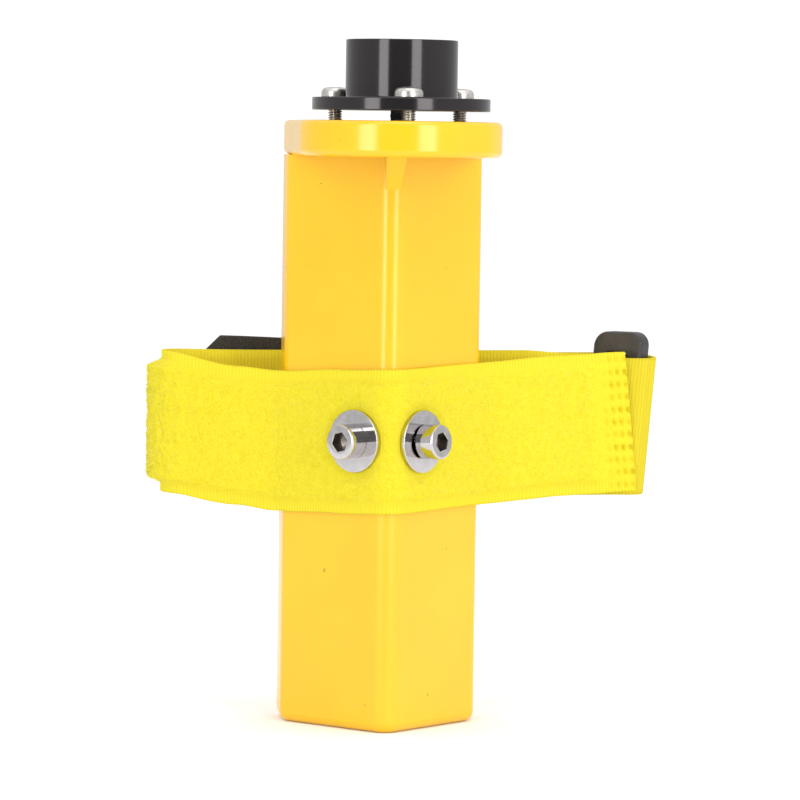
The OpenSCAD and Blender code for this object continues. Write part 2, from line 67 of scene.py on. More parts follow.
# Places that the frame gives
headLow, headHigh = boxOf("head_cover")
antennaLow, antennaHigh = boxOf("antenna_tube")
coverLow, coverHigh = boxOf("rear_cover")
tailLow, tailHigh = boxOf("strap_tail")
hookLow = boxOf("hook_tape")[0]
ringLow, ringHigh = boxOf("buckle_ring")
capLow, capHigh = boxOf("antenna_cap")
buttonLow, buttonHigh = boxOf("power_button")
plugLow, plugHigh = boxOf("port_plug")
halfWidth = headHigh.x
rearY = headHigh.y
headBottom = headLow.z
antennaAxis = Vector((0, (antennaLow.y + antennaHigh.y) / 2, 0))


def polar(radius, turn):
    return radius * Vector((math.cos(turn), math.sin(turn)))


def rectangle(x, y):
    return [(-x, -y), (x, -y), (x, y), (-x, y)]


# Points of the arc that rounds one corner
def cornerArc(before, point, after, radius, steps):
    if radius <= 0:
        return [point]
    a = (before - point).normalized()
    b = (after - point).normalized()
    half = math.acos(max(-1, min(1, a.dot(b)))) / 2
    start = point + a * radius / math.tan(half)
    finish = point + b * radius / math.tan(half)
    centre = point + (a + b).normalized() * radius / math.sin(half)
    fromAngle = math.atan2(start.y - centre.y, start.x - centre.x)
    toAngle = math.atan2(finish.y - centre.y, finish.x - centre.x)
    sweep = (toAngle - fromAngle + 5 * math.pi) % (2 * math.pi) - math.pi
    turns = [fromAngle + sweep * i / steps for i in range(steps + 1)]
    return [centre + polar(radius, t) for t in turns]


def roundedOutline(points, radii, steps=8):
    points = [Vector(p) for p in points]
    outline = []
    for i, point in enumerate(points):
        outline += cornerArc(points[i - 1], point, points[(i + 1) % len(points)], radii[i], steps)
    return outline


def roundedPath(points, radii, steps=12):
    points = [Vector(p) for p in points]
    path = [points[0]]
    for i in range(1, len(points) - 1):
        path += cornerArc(points[i - 1], points[i], points[i + 1], radii[i], steps)
    return path + [points[-1]]


def arcPath(centre, radius, fromDegrees, toDegrees, steps):
    turns = [math.radians(fromDegrees + (toDegrees - fromDegrees) * i / steps) for i in range(steps + 1)]
    return [Vector(centre) + polar(radius, t) for t in turns]


# Points along a path at an even spacing, each with its direction and its distance from the start
def evenPath(path, spacing):
    lengths = [0]
    for a, b in zip(path, path[1:]):
        lengths.append(lengths[-1] + (b - a).length)
    count = max(2, round(lengths[-1] / spacing))
    stations = []
    piece = 0
    for i in range(count + 1):
        along = lengths[-1] * i / count
        while piece < len(path) - 2 and lengths[piece + 1] < along:
            piece += 1
        span = max(1e-9, lengths[piece + 1] - lengths[piece])
        point = path[piece].lerp(path[piece + 1], (along - lengths[piece]) / span)
        stations.append([point, Vector((1, 0)), along])
    for i, station in enumerate(stations):
        ahead = stations[min(i + 1, count)][0]
        behind = stations[max(i - 1, 0)][0]
        station[1] = (ahead - behind).normalized()
    return stations


# Skin over rings of equal length, with flat ends or closed on itself
def loft(rings, wrap=False):
    count = len(rings[0])
    verts = [point for ring in rings for point in ring]
    faces = []
    for row in range(len(rings) if wrap else len(rings) - 1):
        here = row * count
        there = (row + 1) % len(rings) * count
        for i in range(count):
            j = (i + 1) % count
            faces.append((here + i, here + j, there + j, there + i))
    if not wrap:
        faces.append(tuple(reversed(range(count))))
        faces.append(tuple(range(len(verts) - count, len(verts))))
    return verts, faces


# Turned shape about +Z: the profile runs upward on the outside
def lathe(profile, steps=96, wrap=False, centre=(0, 0, 0)):
    turns = [2 * math.pi * i / steps for i in range(steps)]
    rings = [[Vector((r * math.cos(t), r * math.sin(t), z)) + Vector(centre) for t in turns]
             for r, z in profile]
    return loft(rings, wrap)


# Round tool that drills from low to high
def drill(radius, low, high, centre=(0, 0, 0)):
    return lathe([(radius, low), (radius, high)], 32, centre=centre)


def prism(outline, low, high):
    return loft([[Vector((p.x, p.y, z)) for p in outline] for z in (low, high)])


def block(low, high):
    corners = [(low[0], low[1]), (high[0], low[1]), (high[0], high[1]), (low[0], high[1])]
    return prism([Vector(c) for c in corners], low[2], high[2])


def moved(shape, matrix):
    verts, faces = shape
    return [matrix @ Vector(v) for v in verts], faces


def joined(*shapes):
    verts = []
    faces = []
    for someVerts, someFaces in shapes:
        faces += [tuple(i + len(verts) for i in face) for face in someFaces]
        verts += list(someVerts)
    return verts, faces


def meshObject(name, shape):
    verts, faces = shape
    mesh = bpy.data.meshes.new(name)
    mesh.from_pydata([tuple(mm * c for c in v) for v in verts], [], faces)
    mesh.validate()
    mesh.update()
    obj = bpy.data.objects.new(name, mesh)
    bpy.context.scene.collection.objects.link(obj)
    return obj


# Takes an object out of the scene again and keeps its shape
def takeShape(obj):
    shape = ([v.co / mm for v in obj.data.vertices], [tuple(p.vertices) for p in obj.data.polygons])
    bpy.data.objects.remove(obj)
    return shape


def applyModifiers(obj):
    bpy.context.view_layer.update()
    evaluated = obj.evaluated_get(bpy.context.evaluated_depsgraph_get())
    finished = bpy.data.meshes.new_from_object(evaluated)
    obj.modifiers.clear()
    obj.data = finished
    return obj


# Joins or cuts closed shapes exactly
def carve(obj, shapes, operation="DIFFERENCE"):
    tools = [meshObject("tool", shape) for shape in shapes]
    for tool in tools:
        modifier = obj.modifiers.new("carve", "BOOLEAN")
        modifier.solver = "EXACT"
        modifier.operation = operation
        modifier.object = tool
    applyModifiers(obj)
    for tool in tools:
        bpy.data.objects.remove(tool)
    return obj


# Smooth faces with sharp edges past the angle, and normals that keep flat faces flat
def smoothByAngle(obj, degrees=32):
    obj.data.shade_smooth()
    obj.data.set_sharp_from_angle(angle=math.radians(degrees))
    modifier = obj.modifiers.new("normals", "WEIGHTED_NORMAL")
    modifier.keep_sharp = True
    return applyModifiers(obj)


def finishPiece(obj, body, slot, material, *nodes):
    obj.data.materials.clear()
    obj.data.materials.append(material)
    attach(obj, body)
    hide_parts(*nodes)


# One output of a node, so that shader maths reads as plain sums
class Wire:
    def __init__(self, finish, socket):
        self.finish = finish
        self.socket = socket

    def maths(self, operation, *others):
        sockets = dict(enumerate((self,) + others))
        return self.finish.node("Math", {"operation": operation}, sockets)

    def __add__(self, other):
        return self.maths("ADD", other)

    def __sub__(self, other):
        return self.maths("SUBTRACT", other)

    def __rsub__(self, other):
        return self.finish.node("Math", {"operation": "SUBTRACT"}, {0: other, 1: self})

    def __mul__(self, other):
        return self.maths("MULTIPLY", other)

    __radd__ = __add__
    __rmul__ = __mul__


class Finish:
    def __init__(self, name):
        self.material = bpy.data.materials.new(name)
        self.material.use_nodes = True
        self.tree = self.material.node_tree
        self.tree.nodes.clear()

    # Any node: its settings come first, then the values or links of its sockets
    def node(self, kind, settings=None, sockets=None, out=0):
        made = self.tree.nodes.new("ShaderNode" + kind)
        for key, value in (settings or {}).items():
            setattr(made, key, value)
        for key, value in (sockets or {}).items():
            self.join(value, made.inputs[key])
        return Wire(self, made.outputs[out]) if made.outputs else None

    def split(self, vector):
        first = self.node("SeparateXYZ", {}, {0: vector})
        return [Wire(self, socket) for socket in first.socket.node.outputs]

    def join(self, value, socket):
        if isinstance(value, Wire):
            self.tree.links.new(value.socket, socket)
        elif isinstance(value, tuple) and len(value) == 3 and len(socket.default_value) == 4:
            socket.default_value = (*value, 1)
        else:
            socket.default_value = value

    # Position in millimetres, stretched along each axis
    def place(self, stretch=(1, 1, 1)):
        coords = self.node("TexCoord", out="Object")
        scale = tuple(s / mm for s in stretch)
        return self.node("VectorMath", {"operation": "MULTIPLY"}, {0: coords, 1: scale})

    def noise(self, scale, detail=2, stretch=(1, 1, 1), roughness=0.5):
        sockets = {"Vector": self.place(stretch), "Scale": scale, "Detail": detail, "Roughness": roughness}
        return self.node("TexNoise", {}, sockets)

    def ramp(self, value, low, high):
        settings = {"interpolation_type": "SMOOTHSTEP"}
        return self.node("MapRange", settings, {0: value, 1: low, 2: high})

    def mix(self, amount, a, b):
        return self.node("Mix", {"data_type": "RGBA"}, {0: amount, 6: a, 7: b}, out=2)

    def bump(self, height, distance, strength=1.0):
        return self.node("Bump", {}, {"Strength": strength, "Distance": distance * mm, "Height": height})

    def surface(self, sockets):
        shader = self.node("BsdfPrincipled", {}, sockets)
        self.node("OutputMaterial", {}, {"Surface": shader})
        return self.material


housingLook = {
    "colour": (0.84, 0.487, 0.009),
    "deepColour": (0.82, 0.46, 0.007),
    "roughness": 0.23,
    # Colour of the pinhole specks: painted shade in the pits
    "pinholeShadeColour": (0.25, 0.12, 0.01),
    "headRoughness": 0.17,
}


def housingMaterial(name, roughness):
    finish = Finish(name)
    clouds = finish.noise(0.03, 3)
    # Dark specks where the casting has pinholes: painted shade in the pits
    pinholeShade = finish.ramp(finish.noise(0.55, 1, roughness=0.4), 0.815, 0.83)
    tone = finish.mix(finish.ramp(clouds, 0.35, 0.7), housingLook["deepColour"], housingLook["colour"])
    colour = finish.mix(pinholeShade * 0.7, tone, housingLook["pinholeShadeColour"])
    haze = finish.noise(0.35, 4)
    skin = finish.noise(0.5, 2) * 0.7 + finish.noise(4.0, 1) * 0.3
    return finish.surface({
        "Base Color": colour,
        "Roughness": haze * 0.08 + (roughness - 0.04),
        "Normal": finish.bump(skin, 0.012, 0.5),
        "Specular IOR Level": 0.5,
    })


anodisedLook = {
    "colour": (0.010, 0.009, 0.010),
    "wornColour": (0.03, 0.027, 0.028),
    "tint": (1.0, 0.93, 0.94),
    "roughness": 0.07,
    "grain": 0.1,
}


def anodisedMaterial():
    finish = Finish("blackAnodised")
    turned = finish.noise(1.0, 2, stretch=(0.05, 0.05, 9))
    grain = finish.noise(5.0, 2)
    wear = finish.ramp(finish.noise(0.8, 3), 0.62, 0.85) * 0.3
    return finish.surface({
        "Base Color": finish.mix(wear, anodisedLook["colour"], anodisedLook["wornColour"]),
        "Roughness": grain * anodisedLook["grain"] + anodisedLook["roughness"],
        "Specular IOR Level": 0.5,
        "Specular Tint": anodisedLook["tint"],
        "Normal": finish.bump(turned * 0.6 + grain * 0.4, 0.004, 0.5),
    })


steelLook = {"colour": (0.62, 0.595, 0.6), "roughness": 0.07}
brassLook = {"colour": (0.72, 0.50, 0.22), "roughness": 0.28}
# Darker steel for the inside of the sockets: painted shade in the recess
socketShadeLook = {"colour": (0.22, 0.19, 0.17), "roughness": 0.35}
screwLook = {"colour": (0.66, 0.63, 0.59), "roughness": 0.3}
shieldLook = {"colour": (0.6, 0.6, 0.58), "roughness": 0.34}


def metalMaterial(name, look):
    finish = Finish(name)
    smear = finish.noise(0.4, 4)
    scratches = finish.noise(1.0, 2, stretch=(0.4, 6, 1.5))
    darker = tuple(c * 0.86 for c in look["colour"])
    return finish.surface({
        "Base Color": finish.mix(finish.ramp(smear, 0.3, 0.75), darker, look["colour"]),
        "Metallic": 1.0,
        "Roughness": smear * 0.08 + scratches * 0.04 + (look["roughness"] - 0.04),
        "Normal": finish.bump(scratches, 0.0015, 0.4),
    })


plasticLook = {"colour": (0.022, 0.021, 0.021), "wornColour": (0.034, 0.032, 0.032), "roughness": 0.42}


def plasticMaterial():
    finish = Finish("blackPlastic")
    grain = finish.noise(3.2, 3)
    worn = finish.ramp(finish.noise(0.25, 3), 0.4, 0.75)
    return finish.surface({
        "Base Color": finish.mix(worn, plasticLook["colour"], plasticLook["wornColour"]),
        "Roughness": grain * 0.16 + (plasticLook["roughness"] - 0.08),
        "Normal": finish.bump(grain, 0.03, 0.6),
    })


rubberLook = {"seal": (0.02, 0.02, 0.02), "lead": (0.03, 0.03, 0.032), "dust": 0.03, "roughness": 0.6}


def rubberMaterial(name, colour):
    finish = Finish(name)
    dust = finish.ramp(finish.noise(0.6, 4), 0.5, 0.85)
    grain = finish.noise(5.0, 2)
    return finish.surface({
        "Base Color": finish.mix(dust * 0.5, colour, tuple(c + rubberLook["dust"] for c in colour)),
        "Roughness": grain * 0.15 + rubberLook["roughness"],
        "Normal": finish.bump(grain, 0.02, 0.5),
    })


tapeLook = {
    "pile": (0.77, 0.68, 0.038),
    "deepPile": (0.70, 0.56, 0.014),
    "fibre": (0.85, 0.78, 0.08),
    "ribs": (0.73, 0.62, 0.032),
    "webbing": (0.66, 0.54, 0.03),
    "weld": (0.62, 0.46, 0.006),
    "ribPitch": 1.0,
    "walePitch": 0.55,
}


# The tape attribute holds the distance along, the distance across and how much pile there is
def tapeMaterial(name, ribColour, pileBump, ribBump):
    finish = Finish(name)
    tape = finish.node("Attribute", {"attribute_name": "tape"}, out="Vector")
    along, across, pile = finish.split(tape)
    weld = finish.node("Attribute", {"attribute_name": "weld"}, out="Fac")
    fibres = finish.noise(2.6, 4, roughness=0.75)
    tufts = finish.noise(0.6, 3)
    ribTurn = along * (2 * math.pi / tapeLook["ribPitch"])
    ribs = ribTurn.maths("COSINE") * 0.5 + 0.5
    wales = (across * (2 * math.pi / tapeLook["walePitch"])).maths("COSINE") * 0.5 + 0.5
    weave = ribs * 0.7 + wales * ribs * 0.3
    # The weave is darker where its bump is low: painted shade in the grooves between the ribs
    grooveShade = tuple(c * 0.9 for c in ribColour)
    plain = finish.mix(finish.ramp(weave, 0.0, 0.8), grooveShade, ribColour)
    lightness = finish.ramp(fibres * 0.8 + tufts * 0.2, 0.38, 0.58)
    fluffy = finish.mix(lightness, tapeLook["deepPile"], tapeLook["pile"])
    cloth = finish.mix(pile, plain, fluffy)
    height = fibres * pile * pileBump + weave * (1 - pile) * ribBump
    return finish.surface({
        "Base Color": finish.mix(weld, cloth, tapeLook["weld"]),
        "Roughness": fibres * 0.1 + 0.8 - weld * 0.3,
        "Normal": finish.bump(height, 1.0, 0.8),
        "Specular IOR Level": 0.06,
    })


# Loose fibres let light through, so they show paler than the pile below them
def fibreMaterial():
    finish = Finish("pileFibre")
    tint = finish.noise(1.2, 2)
    return finish.surface({
        "Base Color": finish.mix(tint, tapeLook["pile"], tapeLook["fibre"]),
        "Roughness": tint * 0.1 + 0.7,
        "Specular IOR Level": 0.1,
        "Subsurface Weight": 1.0,
        "Subsurface Radius": (1.0, 0.9, 0.3),
        "Subsurface Scale": 0.001,
    })


hookLook = {
    "colours": ((0.008, 0.007, 0.005), (0.035, 0.029, 0.022)),
    "noise": (1.8, 3, (1, 1, 1), 0.7),
    "tones": (0.35, 0.65),
    "roughness": (0.2, 0.6),
    "bump": (0.3, 0.8),
}
wrapLook = {
    "colours": ((0.03, 0.12, 0.30), (0.05, 0.19, 0.42)),
    "noise": (0.5, 3, (1, 1, 0.2)),
    "tones": (0.4, 0.7),
    "roughness": (0.15, 0.25),
    "bump": (0.08, 0.5),
}
ceramicLook = {
    "colours": ((0.55, 0.47, 0.35), (0.66, 0.58, 0.45)),
    "noise": (1.2, 4),
    "tones": None,
    "roughness": (0.2, 0.5),
    "bump": (0.03, 0.5),
}


# Colour, roughness and grain that all follow one noise
def grainedMaterial(name, look):
    finish = Finish(name)
    grain = finish.noise(*look["noise"])
    tone = finish.ramp(grain, *look["tones"]) if look["tones"] else grain
    gain, base = look["roughness"]
    return finish.surface({
        "Base Color": finish.mix(tone, *look["colours"]),
        "Roughness": grain * gain + base,
        "Normal": finish.bump(grain, *look["bump"]),
    })


boardLook = {"mask": (0.006, 0.085, 0.03), "lane": (0.015, 0.16, 0.055), "tin": (0.5, 0.5, 0.46)}


def boardMaterial():
    finish = Finish("solderMask")
    lanes = finish.ramp(finish.noise(0.6, 1, stretch=(2.4, 1, 0.3)), 0.52, 0.56)
    cells = {"Vector": finish.place(), "Scale": 0.5}
    pads = finish.node("TexVoronoi", {"feature": "DISTANCE_TO_EDGE"}, cells)
    tinned = 1 - finish.ramp(pads, 0.02, 0.05)
    mask = finish.mix(lanes, boardLook["mask"], boardLook["lane"])
    return finish.surface({
        "Base Color": finish.mix(tinned * 0.35, mask, boardLook["tin"]),
        "Roughness": 0.3 - lanes * 0.08,
        "Normal": finish.bump(lanes, 0.04, 0.6),
    })


lightLook = {"deep": (0.72, 0.82, 0.86), "pale": (0.86, 0.92, 0.94), "clearness": 0.4}


def lightPipeMaterial():
    finish = Finish("lightPipe")
    haze = finish.noise(0.8, 2)
    return finish.surface({
        "Base Color": finish.mix(haze, lightLook["deep"], lightLook["pale"]),
        "Roughness": haze * 0.1 + 0.1,
        "Transmission Weight": lightLook["clearness"],
        "IOR": 1.49,
    })


yellowPlastic = housingMaterial("housingPlastic", housingLook["roughness"])
glossPlastic = housingMaterial("headPlastic", housingLook["headRoughness"])
anodised = anodisedMaterial()
steel = metalMaterial("polishedSteel", steelLook)
brass = metalMaterial("turnedBrass", brassLook)
shadedSocketSteel = metalMaterial("shadedSocketSteel", socketShadeLook)
satinSteel = metalMaterial("satinSteel", screwLook)
shieldTin = metalMaterial("shieldTin", shieldLook)
blackPlastic = plasticMaterial()
seal = rubberMaterial("sealRubber", rubberLook["seal"])
leadJacket = rubberMaterial("leadJacket", rubberLook["lead"])
loopTape = tapeMaterial("loopTape", tapeLook["ribs"], 0.35, 0.1)
ribbedTape = tapeMaterial("ribbedTape", tapeLook["webbing"], 0.1, 0.16)
looseFibre = fibreMaterial()
hookPile = grainedMaterial("hookPile", hookLook)
solderMask = boardMaterial()
cellWrap = grainedMaterial("cellWrap", wrapLook)
ceramic = grainedMaterial("ceramicElement", ceramicLook)
lightPipe = lightPipeMaterial()

slotMaterials = {
    "housing": yellowPlastic, "black_anodised": anodised, "black_plastic": blackPlastic,
    "seal": seal, "steel": steel, "brass": brass, "ceramic": ceramic, "board": solderMask,
    "shield": shieldTin, "cell_wrap": cellWrap, "lead_jacket": leadJacket,
    "light_pipe": lightPipe, "loop_tape": loopTape, "ribbed_tape": ribbedTape, "hook_tape": hookPile,
}


def dressNodes():
    for part in frame["record"]["subparts"]:
        node = frame["nodes"][part["node"]]
        node.data.materials.clear()
        node.data.materials.append(slotMaterials[part["material_slot"]])


dressNodes()
print("materials made")


housingSizes = {
    "frontRadius": 5.5,
    "cornerRadius": 4.5,
    "rearRadius": 1.5,
    "bottomFillet": 3.0,
    "wall": 2.6,
    "floor": 3.0,
    "cavityDepth": 0.86,
    "rearWindow": 22.9,
    "coverGap": 0.25,
    "shelf": 2.4,
    "shelfInset": 2.3,
    "gussetWidth": 5.8,
    "gussetReach": 9.5,
    "gussetEdge": 0.6,
    "gussetTaper": 0.75,
}
edgeRise = housingSizes["frontRadius"] * (math.sqrt(2) - 1)
bodyEdgeY = -rearY  # the rounded edge and the rear face lie evenly about the origin
sharpY = bodyEdgeY - edgeRise


def housingOutline(inset=0.0):
    side = halfWidth - inset
    cornerY = sharpY + halfWidth + inset * (math.sqrt(2) - 1)
    points = [(0, sharpY + inset * math.sqrt(2)), (side, cornerY), (side, rearY - inset),
              (-side, rearY - inset), (-side, cornerY)]
    sizes = housingSizes
    radii = [sizes["frontRadius"], sizes["cornerRadius"], sizes["rearRadius"],
             sizes["rearRadius"], sizes["cornerRadius"]]
    return roundedOutline(points, [max(0.4, r - inset) for r in radii], 14)


# Small wedge that braces the head against the V edge
def gussetShape():
    sizes = housingSizes
    half = sizes["gussetWidth"] / 2
    edge = sizes["gussetEdge"]
    root = bodyEdgeY + 3
    top = headBottom + 0.4
    sections = []
    for x in (-half, -half + edge, half - edge, half):
        trim = edge if abs(x) == half else 0.0
        tip = sizes["gussetReach"] + 3 - trim
        sections.append([Vector((x, root, top)),
                         Vector((sizes["gussetTaper"] * x, root, headBottom - tip)),
                         Vector((x, root - tip, top))])
    return loft(sections)


def makeHousing():
    sizes = housingSizes
    fillet = sizes["bottomFillet"]
    rings = []
    for step in range(9):
        turn = math.radians(90 * step / 8)
        z = fillet * (1 - math.cos(turn))
        rings.append([Vector((p.x, p.y, z)) for p in housingOutline(fillet * (1 - math.sin(turn)))])
    rings.append([Vector((p.x, p.y, headBottom)) for p in housingOutline()])
    housing = meshObject("housing_shell", loft(rings))
    ledgeY = boxOf("rear_gasket")[0].y
    behind = rearY + 5
    gap = sizes["coverGap"]
    window = sizes["rearWindow"]
    cavity = prism(housingOutline(sizes["wall"]), sizes["floor"], headBottom + 10)
    recessLow = (coverLow.x - gap, ledgeY, coverLow.z - gap)
    recessHigh = (coverHigh.x + gap, behind, coverHigh.z + gap)
    carve(housing, [
        moved(cavity, Matrix.Diagonal((1, sizes["cavityDepth"], 1, 1))),
        block((-window, ledgeY - 6, 6), (window, behind, headBottom - 5)),
        block(recessLow, recessHigh),
    ])
    shelf = prism(headOutline(sizes["shelfInset"]), headBottom, headBottom + sizes["shelf"])
    carve(housing, [gussetShape(), shelf], "UNION")
    smoothByAngle(housing)
    finishPiece(housing, "receiver", "housing", yellowPlastic, "housing")


def headOutline(inset=0.0):
    radius = halfWidth - inset
    turns = [math.radians(180 + 180 * i / 72) for i in range(73)]
    front = [antennaAxis.xy + polar(radius, t) for t in turns]
    rear = [Vector((radius, rearY - inset)), Vector((-radius, rearY - inset))]
    corner = max(0.3, housingSizes["rearRadius"] - inset)
    return front + roundedRear(front[-1], rear, front[0], corner)


def roundedRear(before, corners, after, radius):
    first = cornerArc(before, corners[0], corners[1], radius, 8)
    second = cornerArc(corners[0], corners[1], after, radius, 8)
    return first + second


headSizes = {
    "topFillet": 1.6,
    "bottomEdge": 1.9,
    "dishRadius": 6.2,
    "dishRim": 6.8,
    "dishDepth": 1.8,
    "lightHole": 2.0,
    "leadHole": 2.4,
    "insertHole": 2.9,
}


def makeHead():
    top = headHigh.z
    low = headBottom
    fillet = headSizes["topFillet"]
    edge = headSizes["bottomEdge"]
    rings = []
    for step in range(6):
        turn = math.radians(90 * step / 5)
        rings.append((edge * (1 - math.sin(turn)), low + edge * (1 - math.cos(turn))))
    for step in range(9):
        turn = math.radians(90 * step / 8)
        rings.append((fillet * (1 - math.cos(turn)), top - fillet * (1 - math.sin(turn))))
    shape = loft([[Vector((p.x, p.y, z)) for p in headOutline(inset)] for inset, z in rings])
    head = meshObject("head_shell", shape)
    shelf = low + housingSizes["shelf"]
    dish = headSizes["dishRadius"]
    rim = headSizes["dishRim"]
    buttonCentre = (buttonLow + buttonHigh) / 2
    lightLow, lightHigh = boxOf("status_light")
    lightCentre = (lightLow + lightHigh) / 2
    cuts = [
        prism(headOutline(housingSizes["shelfInset"]), low - 1, shelf),
        prism(headOutline(housingSizes["wall"]), shelf - 0.5, top - housingSizes["wall"]),
        lathe([(dish, top - headSizes["dishDepth"]), (dish, top - 0.3), (rim, top + 0.3), (rim, top + 1)],
              64, centre=(buttonCentre.x, buttonCentre.y, 0)),
        drill(headSizes["lightHole"], top - 5, top + 1, (lightCentre.x, lightCentre.y, 0)),
        drill(headSizes["leadHole"], top - 5, top + 1, antennaAxis),
    ]
    for place in flangeScrewPlaces():
        cuts.append(drill(headSizes["insertHole"], top - 6, top + 1, place))
    carve(head, cuts)
    smoothByAngle(head)
    finishPiece(head, "receiver", "housing", glossPlastic, "head_cover")


flangeSizes = {"pitchCircle": 40.8, "flangeRadius": 25.0, "holeRadius": 2.15, "edge": 0.35}


def flangeScrewPlaces():
    turns = [math.radians(120 * i - 90) for i in range(3)]
    radius = flangeSizes["pitchCircle"] / 2
    return [antennaAxis + radius * Vector((math.cos(t), math.sin(t), 0)) for t in turns]


makeHousing()
makeHead()
print("housing and head made")


tubeSizes = {
    "radius": 15.7,
    "wall": 2.0,
    "flange": 3.6,
    "floor": 2.0,
    "capSeat": 0.8,
    "leadHole": 1.3,
    "rim": 0.3,
    "foot": 0.5,
}


def makeTube():
    low = antennaLow.z
    high = antennaHigh.z
    flangeTop = low + tubeSizes["flange"]
    radius = tubeSizes["radius"]
    inner = radius - tubeSizes["wall"]
    seat = inner + tubeSizes["capSeat"]
    floor = low + tubeSizes["floor"]
    hole = tubeSizes["leadHole"]
    wide = flangeSizes["flangeRadius"]
    edge = flangeSizes["edge"]
    rim = tubeSizes["rim"]
    outline = [(wide, low), (wide, flangeTop), (radius, flangeTop), (radius, high), (seat, high),
               (seat, capLow.z), (inner, capLow.z), (inner, floor), (hole, floor), (hole, low)]
    radii = [edge, edge, tubeSizes["foot"], rim, rim, 0, 0.1, 0.2, 0.1, 0.1]
    profile = roundedOutline(outline, radii, 5)
    tube = meshObject("antenna_body", lathe([(p.x, p.y) for p in profile], 160, True, antennaAxis))
    bore = flangeSizes["holeRadius"]
    carve(tube, [drill(bore, low - 1, flangeTop + 1, place) for place in flangeScrewPlaces()])
    smoothByAngle(tube, 40)
    finishPiece(tube, "receiver", "black_anodised", anodised, "antenna_tube")


capSizes = {"edge": 0.3, "rimWidth": 2.2, "sunk": 0.3, "middle": 2.0}


def makeCap():
    radius = capHigh.x
    high = capHigh.z
    edge = capSizes["edge"]
    rim = radius - capSizes["rimWidth"]
    sunk = high - capSizes["sunk"]
    profile = [(radius, capLow.z), (radius, high - edge), (radius - 0.1, high - 0.1), (radius - edge, high),
               (rim, high), (rim - 0.3, high - 0.25), (rim - 0.6, sunk), (capSizes["middle"], sunk)]
    cap = meshObject("top_cap", lathe(profile, 96, centre=antennaAxis))
    smoothByAngle(cap)
    finishPiece(cap, "receiver", "black_plastic", blackPlastic, "antenna_cap")


screwSizes = {
    "headRadius": 4.0,
    "headHeight": 3.0,
    "sideHeight": 1.1,
    "crown": 1.5,
    "edge": 0.25,
    "threadRadius": 2.0,
    "threadDepth": 0.42,
    "pitch": 0.7,
    "length": 10.0,
    "crossTurn": 20,
    "crossReach": 2.1,
    "crossWidth": 0.5,
    "crossDepth": 1.6,
}


# Threaded rod from low to high about +Z, whose radius follows the helix
def threadShape(radius, depth, pitch, low, high, steps=28):
    rows = max(2, round((high - low) / pitch * 8))
    rings = []
    for row in range(rows + 1):
        z = low + (high - low) * row / rows
        ring = []
        for i in range(steps):
            phase = (z / pitch - i / steps) % 1
            ridge = max(0, min(1, 1.25 - abs(phase - 0.5) * 3.2))
            taper = min(1, (z - low) / pitch + 0.3)
            r = radius - depth * (1 - ridge * taper)
            turn = 2 * math.pi * i / steps
            ring.append(Vector((r * math.cos(turn), r * math.sin(turn), z)))
        rings.append(ring)
    return loft(rings)


def panHeadShape():
    radius = screwSizes["headRadius"]
    height = screwSizes["headHeight"]
    side = screwSizes["sideHeight"]
    edge = screwSizes["edge"]
    flat = radius - screwSizes["crown"]
    profile = [(radius - edge, 0), (radius, edge), (radius, side)]
    for step in range(9):
        turn = math.radians(90 * step / 8)
        crown = screwSizes["crown"] * math.cos(turn)
        profile.append((flat + crown, side + (height - side - edge) * math.sin(turn)))
    for step in range(1, 5):
        r = flat * (1 - step / 5)
        profile.append((r, height - edge + edge * (1 - (r / flat) ** 2)))
    return lathe(profile, 48)


# Two crossed slots that narrow downward
def crossTools():
    reach = screwSizes["crossReach"]
    width = screwSizes["crossWidth"]
    top = screwSizes["headHeight"]
    bottom = top - screwSizes["crossDepth"]
    tools = []
    for turn in (0, 90):
        low = [Vector((*p, bottom)) for p in rectangle(reach * 0.35, width * 0.6)]
        high = [Vector((*p, top + 0.4)) for p in rectangle(reach, width)]
        turned = Matrix.Rotation(math.radians(turn + screwSizes["crossTurn"]), 4, "Z")
        tools.append(moved(loft([low, high]), turned))
    return tools


def makeFlangeScrews():
    seat = antennaLow.z + tubeSizes["flange"]
    sizes = screwSizes
    headShape = takeShape(carve(meshObject("pan_head", panHeadShape()), crossTools()))
    thread = threadShape(sizes["threadRadius"], sizes["threadDepth"], sizes["pitch"], -sizes["length"], 0.05)
    shapes = []
    for i, place in enumerate(flangeScrewPlaces()):
        seated = Matrix.Translation(place + Vector((0, 0, seat)))
        turned = seated @ Matrix.Rotation(math.radians(35 * i), 4, "Z")
        shapes += [moved(headShape, turned), moved(thread, turned)]
    screws = meshObject("flange_screws", joined(*shapes))
    smoothByAngle(screws, 28)
    finishPiece(screws, "receiver", "steel", satinSteel, "antenna_screws")


boltSizes = {
    "offset": 8.414,
    "height": 83.8,
    "headRadius": 5.0,
    "headHeight": 6.0,
    "edge": 0.55,
    "footEdge": 0.2,
    "socketAcross": 5.0,
    "socketDepth": 3.2,
    "socketEdge": 0.25,
    "faceRadius": 3.15,
    "socketTurn": 12,
    "drillRadius": 2.1,
    "threadRadius": 2.95,
    "threadDepth": 0.5,
    "pitch": 1.0,
    "length": 10,
    "strapThickness": 1.2,
    "rightLift": 0.5,
    "rightTilt": 3.5,
}
boltPlace = Vector((boltSizes["offset"], sharpY + boltSizes["offset"], boltSizes["height"]))


# Turns +Z so that it points out of one V face, at that face's bolt
def atBolt(side):
    place = Vector((side * boltPlace.x, boltPlace.y, boltPlace.z))
    turn = Matrix.Rotation(math.radians(side * 45), 4, "Z") @ Matrix.Rotation(math.radians(90), 4, "X")
    return Matrix.Translation(place) @ turn


